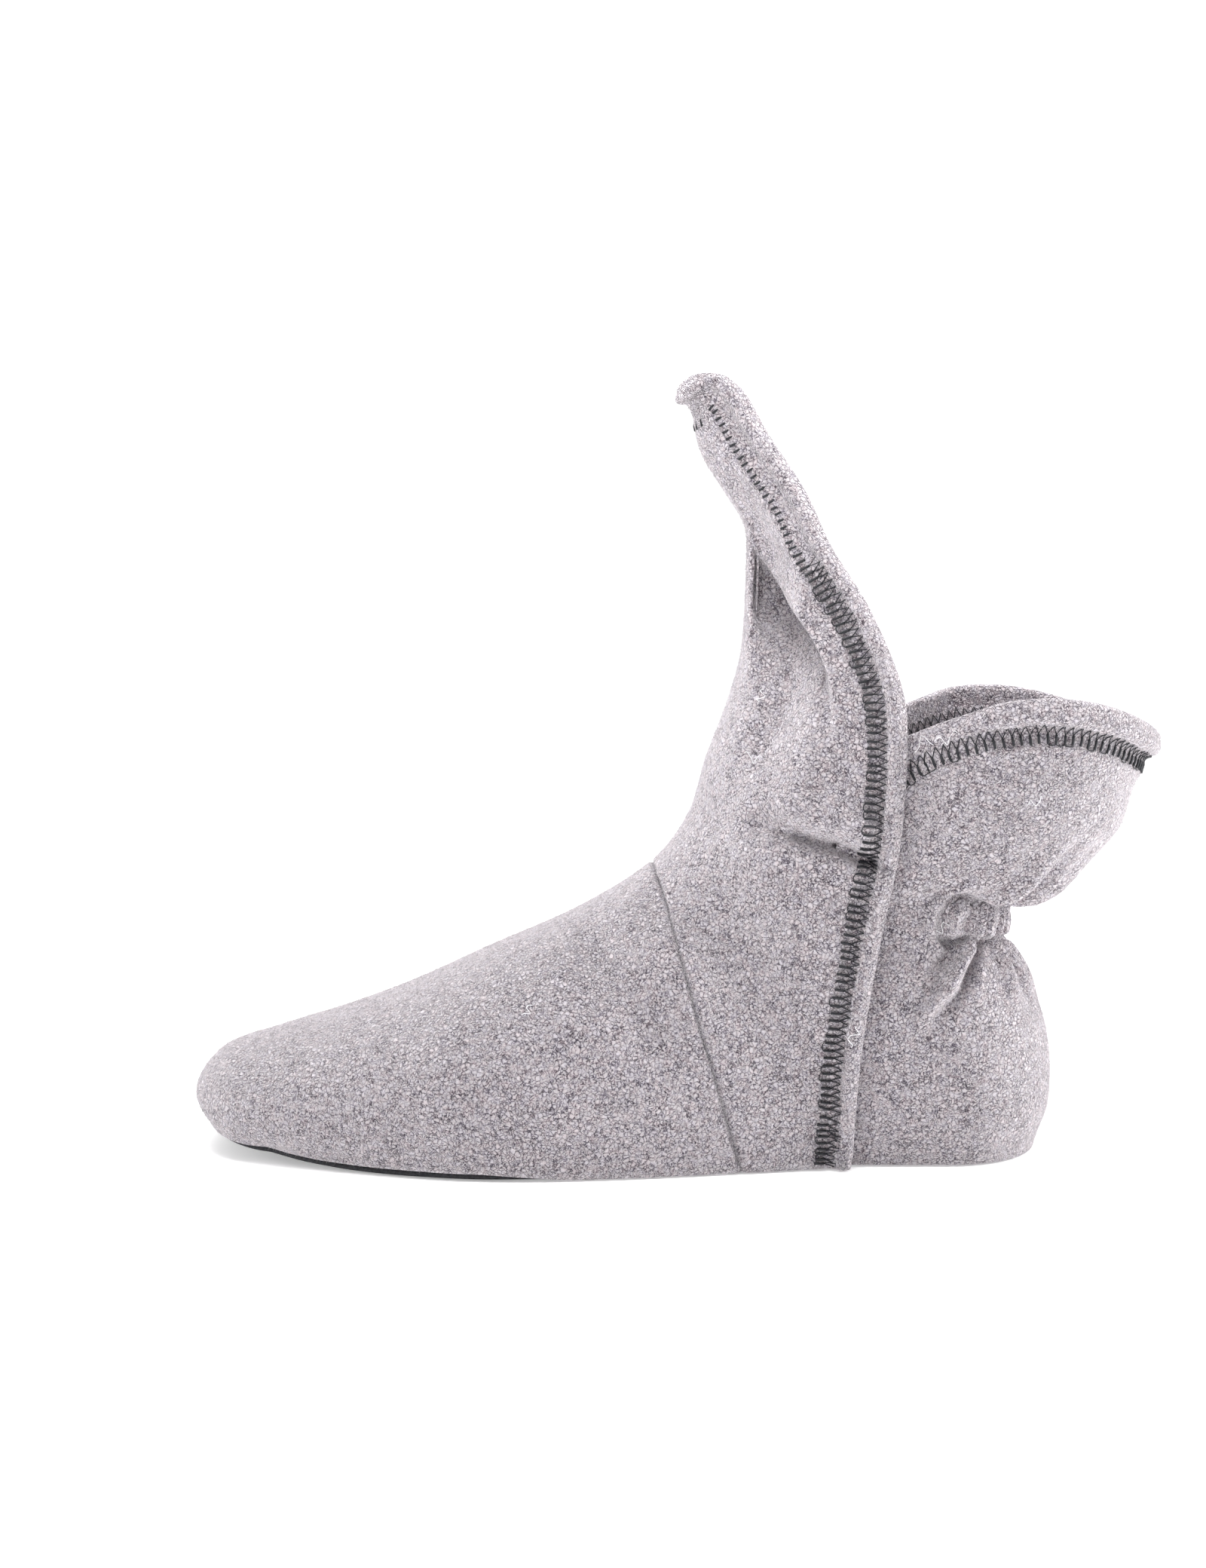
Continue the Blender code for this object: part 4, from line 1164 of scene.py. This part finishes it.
def cover_stitches(strip, outside, band, pitch, seed, sunk_above):
    """The thread of one stitched band, from its first pitch to its last, evenly spaced along its
    middle. Above the height `sunk_above` it goes down into the nap."""
    outer, middle, inner = band
    normal = grid_normals(strip, outside)
    random = np.random.default_rng(seed)
    line = strip[:, int(middle / STRIP_STEP)]
    length = np.linalg.norm(np.diff(line, axis=0), axis=-1)
    length = np.concatenate([[0], np.cumsum(length)])
    start = np.arange(BAND_END * pitch, length[-1] - BAND_END * pitch, pitch)
    start = np.interp(start + random.normal(0, PITCH_SCATTER, len(start)), length,
                      np.arange(len(length)) * STRIP_STEP)
    apart = np.gradient(start)[:, None]
    sway = random.normal(0, THREAD_SWAY, (3, len(start), 1))
    place = np.clip((start / STRIP_STEP).astype(int), 0, len(strip) - 1)
    height = strip[place, HEIGHT_COLUMN, 2]
    sunk = (SINKING * ease(sunk_above, sunk_above + SINKING_BLEND, height))[:, None]
    share = np.linspace(0, 1, 7)[None]
    s = start[:, None]
    bar_in = inner + (middle - inner) * share + sway[0]
    bar = on_strip(strip, normal, s - BAR_SLANT * apart * share, bar_in,
                   BAR_LIFT + BAR_ARCH * np.sin(math.pi * share)
                   - sunk * (BAR_SUNK[0] + BAR_SUNK[1] * share))
    fork = s - BAR_SLANT * apart
    to_hem = middle + sway[0] + (outer + sway[1] - middle) * share
    legs = [on_strip(strip, normal, fork + spread * apart * share, to_hem, LEG_LIFT - sunk)
            for spread in LEG_SPREAD]
    turn = math.pi * share
    loop_in = inner + sway[0] + LOOP_DEPTH * np.sin(turn)
    linked = random.random(len(start)) < LINKED_SHARE
    loop = on_strip(strip, normal, s + apart * (1 - np.cos(turn)) / 2, loop_in,
                    LEG_LIFT - 0.5 * sunk)[linked]
    return joined([tubes(bar, BAR_RADIUS, 6)]
                  + [tubes(thin, LEG_RADIUS, 5) for thin in (*legs, loop)])


def front_strip(row, side, inward):
    """Even strip of points on the front shaft and vamp, in from a border of the sheet."""
    row, side = square_strip(upper_surface, row, side, inward)
    whole = np.concatenate([vamp_outer[:-1], shaft_outer])
    rows = np.concatenate([vamp_rows[:-1], shaft_rows])
    return read_grid(whole, rows, np.linspace(-1, 1, SHAFT_GRID[1] + 1), row, side)


def collar_strip(face, path):
    """Even strip of points on one face of the quarter, down from its top edge."""
    row, side = square_strip(quarter_surface, np.full(len(path), TOP - 0.01), path, (-1, 0))
    return read_grid(face, quarter_row[:, 0], quarter_side[0], row, side)


path = np.linspace(CORNER, LAST - 0.35, 900)
lateral_strip = front_strip(path, -np.ones(len(path)), (0, 1))
medial_strip = front_strip(path, np.ones(len(path)), (0, -1))
path = np.linspace(-0.42, 0.42, 200)
tip_strip = front_strip(np.full(len(path), LAST - 0.01), path, (-1, 0))
points, faces = joined([
    cover_stitches(lateral_strip, 1, FRONT_BAND, FRONT_PITCH, 3, FRONT_SUNK),
    cover_stitches(medial_strip, -1, FRONT_BAND, FRONT_PITCH, 5, FRONT_SUNK),
    cover_stitches(tip_strip, 1, FRONT_BAND, FRONT_PITCH, 9, TIP_SUNK)])
points[:, 2] = np.maximum(points[:, 2], 0)
thread_finish = spun_thread()
mesh_piece("hem_stitching", points, faces, thread_finish)
outer_strip = collar_strip(quarter_outer, np.linspace(-0.93, 0.93, 700))
lining_strip = collar_strip(quarter_inner, np.linspace(0.12, 0.93, 400))
points, faces = joined([
    cover_stitches(outer_strip, -1, COLLAR_BAND, COLLAR_PITCH, 7, COLLAR_SUNK),
    cover_stitches(lining_strip, 1, COLLAR_BAND, COLLAR_PITCH, 8, COLLAR_SUNK)])
mesh_piece("collar_stitching", points, faces, thread_finish)

# Nap
# The brushed face of the fleece: short soft fibres raised from the knit, leaning every way. They
# soften every outline. They are made as slim closed spikes, about one to each square millimetre.

NAP_LENGTH = 0.0010
NAP_RADIUS = 0.00007
NAP_ROOT = 0.0002
NAP_UPRIGHT = 0.75
NAP_SCATTER = 0.42
NAP_SHORTEST = 0.45
FRONT_NAP_COUNT = 30000
QUARTER_NAP_COUNT = 28000
NAP_SHOWING = 0.75


def nap_on(outer, normal, count, seed, keep):
    """`count` three-sided spikes spread over a grid by area: each stands on a random point of a
    random cell and leans off the normal by a random share."""
    random = np.random.default_rng(seed)
    right, up = outer[:-1, 1:] - outer[:-1, :-1], outer[1:, :-1] - outer[:-1, :-1]
    area = np.linalg.norm(np.cross(right, up), axis=-1)
    if keep is not None:
        area = area * keep[:-1, :-1]
    cell = random.choice(area.size, count, p=(area / area.sum()).ravel())
    i, j = np.unravel_index(cell, area.shape)
    u, v = random.random((2, count, 1))
    foot = outer[i, j] + right[i, j] * u + up[i, j] * v
    way = normal[i, j] * NAP_UPRIGHT + random.normal(0, NAP_SCATTER, (count, 3))
    way /= np.linalg.norm(way, axis=-1, keepdims=True)
    tall = NAP_LENGTH * random.uniform(NAP_SHORTEST, 1.0, (count, 1))
    first = np.cross(way, random.normal(0, 1, (count, 3)))
    first /= np.linalg.norm(first, axis=-1, keepdims=True)
    second = np.cross(way, first)
    root = foot - normal[i, j] * NAP_ROOT
    corners = [root + NAP_RADIUS * (math.cos(t) * first + math.sin(t) * second)
               for t in (0, 2 * math.pi / 3, 4 * math.pi / 3)]
    points = np.stack(corners + [foot + way * tall], axis=1).reshape(-1, 3)
    spike = np.array([(0, 1, 3), (1, 2, 3), (2, 0, 3), (2, 1, 0)])
    points[:, 2] = np.maximum(points[:, 2], 0)
    return points, (spike[None] + 4 * np.arange(count)[:, None, None]).reshape(-1, 3)


def nap_fibre():
    """Single polyester fibres of the nap, in tones lighter than the fleece's own: painted light
    that stands in for the light passing through them."""
    finish, tree, shader = new_finish("raised_polyester_nap",
                                      {"Roughness": 0.9, "Specular IOR Level": 0.1})
    # Painted light: these tones are lighter than the fleece's for the light that passes through the
    # fibres.
    shade = ramp(tree, noise(tree, 420.0, 2.0).outputs["Fac"],
                 [(0.34, "#978f96"), (0.50, "#b7b2b5"), (0.66, "#d8d5d7")])
    tree.links.new(shade.outputs["Color"], shader.inputs["Base Color"])
    return finish


nap_finish = nap_fibre()
showing = (np.abs(quarter_side) < NAP_SHOWING).astype(float)
for name, outer, normal, count, seed, keep in (
        ("vamp_nap", vamp_outer, vamp_normal, FRONT_NAP_COUNT, 11, None),
        ("front_shaft_nap", shaft_outer, shaft_normal, FRONT_NAP_COUNT, 12, None),
        ("heel_quarter_nap", quarter_outer, quarter_normal, QUARTER_NAP_COUNT, 13, showing)):
    points, faces = nap_on(outer, normal, count, seed, keep)
    mesh_piece(name, points, faces, nap_finish, smooth=False)

# Lint
# A few white hairs of lint that cling to the nap, each a short curled thread.

LINT_RADIUS = 0.00008
LINT_POINTS = 40
LINT_RISE = (0.0015, 0.0004)
LINT_CURL = (0.20, 0.05)
LINT_SPLIT = 0.075

# Place in side view (m) and length (mm), on the lateral side
LINT = np.array([
    (0.0888, 0.1270, 9.0),
    (0.0940, 0.1290, 7.0),
    (0.0395, 0.1215, 6.0),
    (0.0665, 0.0415, 6.0),
    (0.0930, 0.0720, 5.0),
    (0.0420, 0.1395, 4.0),
    (-0.0280, 0.0480, 4.0),
    (0.1180, 0.1105, 5.0),
])


def lint_finish():
    """Bleached cotton lint: plain matt white."""
    white = linear("#f6f6f8")
    return new_finish("white_cotton_lint", {"Base Color": white, "Roughness": 0.8})[0]


def lint_paths(surface, normal, lint, seed):
    """A curled path over each place: from the nearest point of the lateral side it wanders as a
    sum of two sines and stays 1 to 2 mm over the wall, in the tips of the nap."""
    random = np.random.default_rng(seed)
    lateral = surface[..., 1] < 0
    points, normals = surface[lateral], normal[lateral]
    gap = np.hypot(points[:, 0] - lint[:, :1], points[:, 2] - lint[:, 1:2])
    nearest = np.argmin(gap, axis=1)
    share = np.linspace(-0.5, 0.5, LINT_POINTS)[None]
    long = lint[:, 2:] * MILLIMETRE
    turn = random.uniform(0, 2 * math.pi, (4, len(lint), 1))
    across = LINT_CURL[0] * long * np.sin(9 * share + turn[0])
    across = across + LINT_CURL[1] * long * np.sin(19 * share + turn[1])
    x = long * share * np.cos(turn[2]) - across * np.sin(turn[2])
    z = long * share * np.sin(turn[2]) + across * np.cos(turn[2])
    up = LINT_RISE[0] + LINT_RISE[1] * np.sin(9 * share + turn[3])
    path = points[nearest][:, None] + up[..., None] * normals[nearest][:, None]
    return path + np.stack([x, np.zeros(x.shape), z], axis=-1)


near_front = LINT[LINT[:, 0] < LINT_SPLIT]
near_back = LINT[LINT[:, 0] >= LINT_SPLIT]
whole = np.concatenate([vamp_outer, shaft_outer])
normals = np.concatenate([vamp_normal, shaft_normal])
points, faces = joined([
    tubes(lint_paths(whole, normals, near_front, 21), LINT_RADIUS, 4),
    tubes(lint_paths(quarter_outer, quarter_normal, near_back, 22), LINT_RADIUS, 4)])
mesh_piece("lint", points, faces, lint_finish())

# Studio
# A plain white floor, a surround that is bright at the back, and soft lights from above, the left
# and the right, with a faint narrow one on the flap. The camera's side of the slipper stays a
# little darker than its rims.

PHOTO_WIDTH = 1600
PHOTO_HEIGHT = 2080
FOCAL_PIXELS = 2672
HORIZON_PIXEL = 801
EYE_HEIGHT = 0.1675
EYE_DISTANCE = 0.62
EYE_ALONG = -0.0061
SENSOR = 0.036


def studio_floor():
    """Large matt sheet under the slipper, lit a little from below like a light table."""
    finish = new_finish("matt_white_floor", {
        "Emission Color": (1, 1, 1, 1), "Emission Strength": 0.34,
        "Base Color": linear("#fcfcfc"), "Roughness": 0.9, "Specular IOR Level": 0.1})[0]
    mesh = bpy.data.meshes.new("floor")
    mesh.from_pydata([(-6, -4, 0), (6, -4, 0), (6, 8, 0), (-6, 8, 0)], [], [(0, 1, 2, 3)])
    mesh.materials.append(finish)
    floor = bpy.data.objects.new("floor", mesh)
    bpy.context.scene.collection.objects.link(floor)


def soft_light(name, place, target, size, power, spread=math.pi):
    """Square area light at `place`, turned to `target`, that shines into a cone of `spread`."""
    lamp = bpy.data.lights.new(name, "AREA")
    lamp.shape = "SQUARE"
    lamp.size = size
    lamp.energy = power
    lamp.spread = spread
    light = bpy.data.objects.new(name, lamp)
    way = np.array(target) - np.array(place)
    away = math.hypot(way[0], way[1])
    light.rotation_euler = (math.atan2(away, -way[2]), 0, math.atan2(-way[0], way[1]))
    light.location = place
    bpy.context.scene.collection.objects.link(light)


def soft_surround():
    """Surround that lights the slipper from the back and fades on the camera's side: its strength
    follows the sine of the direction towards the back. Seen from anywhere it is plain white."""
    world = bpy.data.worlds.new("soft_surround")
    world.use_nodes = True
    tree = world.node_tree
    way = node(tree, "ShaderNodeTexCoord").outputs["Generated"]
    parts = node(tree, "ShaderNodeSeparateXYZ", links={0: way})
    fade = node(tree, "ShaderNodeMapRange",
                {"From Min": -0.75, "From Max": 0.35, "To Min": 0.16, "To Max": 1.2,
                 "interpolation_type": "SMOOTHSTEP"}, {0: parts.outputs["Y"]})
    seen = node(tree, "ShaderNodeLightPath").outputs["Is Camera Ray"]
    strength = node(tree, "ShaderNodeMix", {"data_type": "FLOAT", 3: 1.2},
                    {0: seen, 2: fade.outputs[0]})
    background = tree.nodes["Background"]
    background.inputs["Color"].default_value = (1, 1, 1, 1)
    tree.links.new(strength.outputs[0], background.inputs["Strength"])
    bpy.context.scene.world = world


studio_floor()
soft_surround()
soft_light("top_light", (-0.2, 0.2, 1.3), (0, 0, 0.08), 0.9, 9)
soft_light("front_top_light", (-0.05, -0.22, 0.95), (0, 0, 0.12), 0.4, 6)
soft_light("flap_light", (-0.25, -0.55, 0.60), (0.01, 0, 0.24), 0.24, 0.075, math.radians(18))
soft_light("left_light", (-1.2, 0.3, 0.22), (0, 0, 0.06), 0.6, 9)
soft_light("right_light", (1.1, 0.05, 0.5), (0, 0, 0.08), 0.7, 18)

lens = bpy.data.cameras.new("photo_camera")
lens.sensor_fit = "HORIZONTAL"
lens.sensor_width = SENSOR * 1000
lens.lens = FOCAL_PIXELS / PHOTO_WIDTH * SENSOR * 1000
lens.clip_start = 0.01
camera = bpy.data.objects.new("photo_camera", lens)
pitch = math.atan((PHOTO_HEIGHT / 2 - HORIZON_PIXEL) / FOCAL_PIXELS)
camera.location = (EYE_ALONG, -EYE_DISTANCE, EYE_HEIGHT)
camera.rotation_euler = (math.pi / 2 - pitch, 0, 0)
bpy.context.scene.collection.objects.link(camera)
bpy.context.scene.camera = camera
bpy.context.scene.view_settings.view_transform = "Standard"
